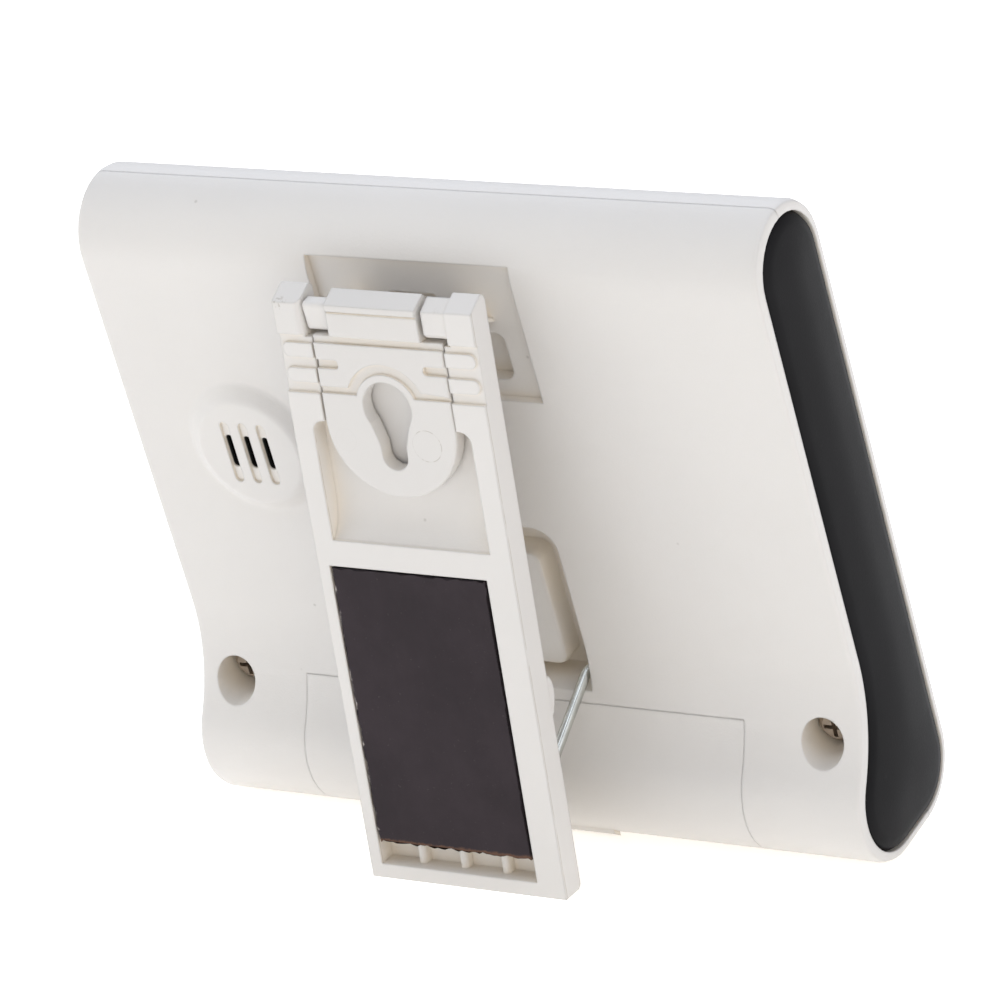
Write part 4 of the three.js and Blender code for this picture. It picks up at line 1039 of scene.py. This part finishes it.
class TIMER_OT_display(bpy.types.Operator):
    """Dresses the window and the display."""

    bl_idname = "timer.display"
    bl_label = "Display"

    def execute(self, context):
        moulded("display_window", "window_pane", window_glass(), "case", "window")
        moulded("display_panel", "display_face", display_glass(), "case", "display")
        ink = plain_plastic("display_ink", (0.022, 0.026, 0.022), 0.3, 0.2)
        mesh = bmesh.new()
        across = -DIGIT_ROW / 2
        for sign in looks().digits:
            if sign == ":":
                for height in (-COLON_RISE, COLON_RISE):
                    self.dot(mesh, across + COLON_WIDTH / 2, height * DIGIT_HEIGHT)
                across += COLON_WIDTH
            else:
                for name in SEGMENTS_ON[int(sign)]:
                    self.segment(mesh, across + DIGIT_WIDTH / 2, *SEGMENTS[name])
                across += DIGIT_WIDTH + DIGIT_GAP
        finished("display_segments", mesh, ink, "case", "display")
        return {"FINISHED"}

    def segment(self, mesh, across, x, height, upright):
        """One bar of a digit, pointed at both ends."""
        half = (DIGIT_HEIGHT / 4 if upright else DIGIT_WIDTH / 2) - BAR_TRIM
        thick = DIGIT_BAR / 2
        outline = [
            (-half, 0), (-half + thick, -thick), (half - thick, -thick),
            (half, 0), (half - thick, thick), (-half + thick, thick),
        ]
        if upright:
            outline = [(-b, a) for a, b in outline]
        self.prism(mesh, [
            (across + x * DIGIT_WIDTH / 2 + a, height * DIGIT_HEIGHT / 2 + b)
            for a, b in outline
        ])

    def dot(self, mesh, across, height):
        """One square dot of a colon."""
        thick = DIGIT_BAR / 2
        self.prism(mesh, [
            (across + a * thick, height + b * thick)
            for a, b in ((-1, -1), (1, -1), (1, 1), (-1, 1))
        ])

    def prism(self, mesh, outline):
        """A thin printed shape on the front of the display, leaning as digits do."""
        face, root = (
            [
                mesh.verts.new(
                    on_case(a + b * DIGIT_LEAN, DISPLAY_FRONT - rise, DISPLAY_MIDDLE + b)
                )
                for a, b in outline
            ]
            for rise in (PRINT_RISE, -PRINT_ROOT)
        )
        mesh.faces.new(face)
        mesh.faces.new(list(reversed(root)))
        for index in range(len(outline)):
            after = (index + 1) % len(outline)
            mesh.faces.new((face[after], face[index], root[index], root[after]))


class TIMER_OT_buttons(bpy.types.Operator):
    """Dresses the push buttons."""

    bl_idname = "timer.buttons"
    bl_label = "Buttons"

    def execute(self, context):
        grey = plain_plastic("button_grey", looks().button_colour, 0.38)
        for name in BUTTONS:
            moulded(name, f"{name}_cap", grey, f"{name}_body", "button")
        return {"FINISHED"}


class TIMER_OT_works(bpy.types.Operator):
    """Finishes what the case holds inside."""

    bl_idname = "timer.works"
    bl_label = "Works"

    def execute(self, context):
        finishes = {
            "frame_plastic": plain_plastic("frame_plastic", (0.7, 0.69, 0.67), 0.45),
            "carbon_rubber": plain_plastic("carbon_rubber", (0.03, 0.03, 0.032), 0.6, 0.15),
            "potting": plain_plastic("potting", (0.012, 0.012, 0.012), 0.25, 0.8),
            "silicone": plain_plastic("silicone", (0.45, 0.46, 0.48), 0.55),
            "dust_felt": plain_plastic("dust_felt", (0.014, 0.013, 0.012), 0.9, 0.12),
            "spring_steel": drawn_steel("spring_steel", BARE_STEEL, 0.22),
            "screw_steel": bpy.data.materials["screw_steel"],
            "solder_mask": solder_mask(),
            "cell_wrap": cell_wrap(),
        }
        for node, name in WORKS.items():
            paint(node, finishes[name])
        return {"FINISHED"}


class TIMER_OT_stage(bpy.types.Operator):
    """Sets up the floor, the lights and the camera."""

    bl_idname = "timer.stage"
    bl_label = "Studio"

    def execute(self, context):
        stage = context.scene.timer_stage
        self.floor(stage)
        self.lights(stage)
        self.camera(stage)
        context.scene.view_settings.view_transform = "Standard"
        return {"FINISHED"}

    def floor(self, stage):
        """A round white floor that gives a little light from below."""
        finish = Finish(
            "floor_white", Roughness=0.9, Specular_IOR_Level=0.1,
            Emission_Color=FLOOR_GLOW, Emission_Strength=stage.floor_glow,
        )
        cloud = finish.grain(0.4, detail=1.0)
        material = finish.wear(Base_Color=finish.mix(cloud, FLOOR_DARK, FLOOR_LIGHT))
        mesh = bmesh.new()
        bmesh.ops.create_circle(
            mesh, cap_ends=True, radius=stage.floor_radius, segments=stage.floor_sides
        )
        data = bpy.data.meshes.new("floor")
        mesh.to_mesh(data)
        mesh.free()
        data.materials.append(material)
        floor = bpy.data.objects.new("floor", data)
        bpy.context.scene.collection.objects.link(floor)

    def area(self, name, place, size, power, tint):
        """A round soft light that is turned to the timer's middle."""
        data = bpy.data.lights.new(name, "AREA")
        data.shape = "DISK"
        data.size = size
        data.energy = power
        data.color = tint
        light = bpy.data.objects.new(name, data)
        light.location = place
        aim = Vector(LIGHT_AIM) - Vector(place)
        light.rotation_euler = aim.to_track_quat("-Z", "Y").to_euler()
        bpy.context.scene.collection.objects.link(light)

    def lights(self, stage):
        """The even surroundings and the soft lights."""
        world = bpy.data.worlds.new("studio_white")
        bpy.context.scene.world = world
        world.use_nodes = True
        surround = world.node_tree.nodes["Background"]
        surround.inputs["Color"].default_value = SKY_WHITE
        surround.inputs["Strength"].default_value = stage.sky
        for name, place, size, power, tint in LIGHTS:
            self.area(name, place, size, power * stage.light_power, tint)

    def camera(self, stage):
        """The camera, at the photograph's viewing angle."""
        data = bpy.data.cameras.new("camera")
        data.sensor_width = 36.0
        data.lens = stage.camera_lens
        data.clip_start = 0.01
        camera = bpy.data.objects.new("camera", data)
        camera.location = stage.camera_place
        camera.rotation_euler = stage.camera_turn
        bpy.context.scene.collection.objects.link(camera)
        bpy.context.scene.camera = camera


OPERATORS = (
    TIMER_OT_case,
    TIMER_OT_grips,
    TIMER_OT_stand,
    TIMER_OT_magnet,
    TIMER_OT_screws,
    TIMER_OT_wire,
    TIMER_OT_display,
    TIMER_OT_buttons,
    TIMER_OT_works,
    TIMER_OT_stage,
)


class TIMER_PT_panel(bpy.types.Panel):
    """Lists the timer's pieces and settings."""

    bl_idname = "TIMER_PT_panel"
    bl_label = "Kitchen timer"
    bl_space_type = "VIEW_3D"
    bl_region_type = "UI"
    bl_category = "Timer"

    def draw(self, context):
        column = self.layout.column()
        for operator in OPERATORS:
            column.operator(operator.bl_idname)
        for group in (context.scene.timer_looks, context.scene.timer_stage):
            for name in group.__annotations__:
                column.prop(group, name)


CLASSES = (TimerLooks, TimerStage, *OPERATORS, TIMER_PT_panel)


def register():
    for cls in CLASSES:
        bpy.utils.register_class(cls)
    bpy.types.Scene.timer_looks = PointerProperty(type=TimerLooks)
    bpy.types.Scene.timer_stage = PointerProperty(type=TimerStage)


def unregister():
    del bpy.types.Scene.timer_stage
    del bpy.types.Scene.timer_looks
    for cls in reversed(CLASSES):
        bpy.utils.unregister_class(cls)


def main():
    register()
    bpy.ops.timer.case()
    bpy.ops.timer.grips()
    bpy.ops.timer.stand()
    bpy.ops.timer.magnet()
    bpy.ops.timer.screws()
    bpy.ops.timer.wire()
    bpy.ops.timer.display()
    bpy.ops.timer.buttons()
    bpy.ops.timer.works()
    bpy.ops.timer.stage()


if __name__ == "__main__":
    main()
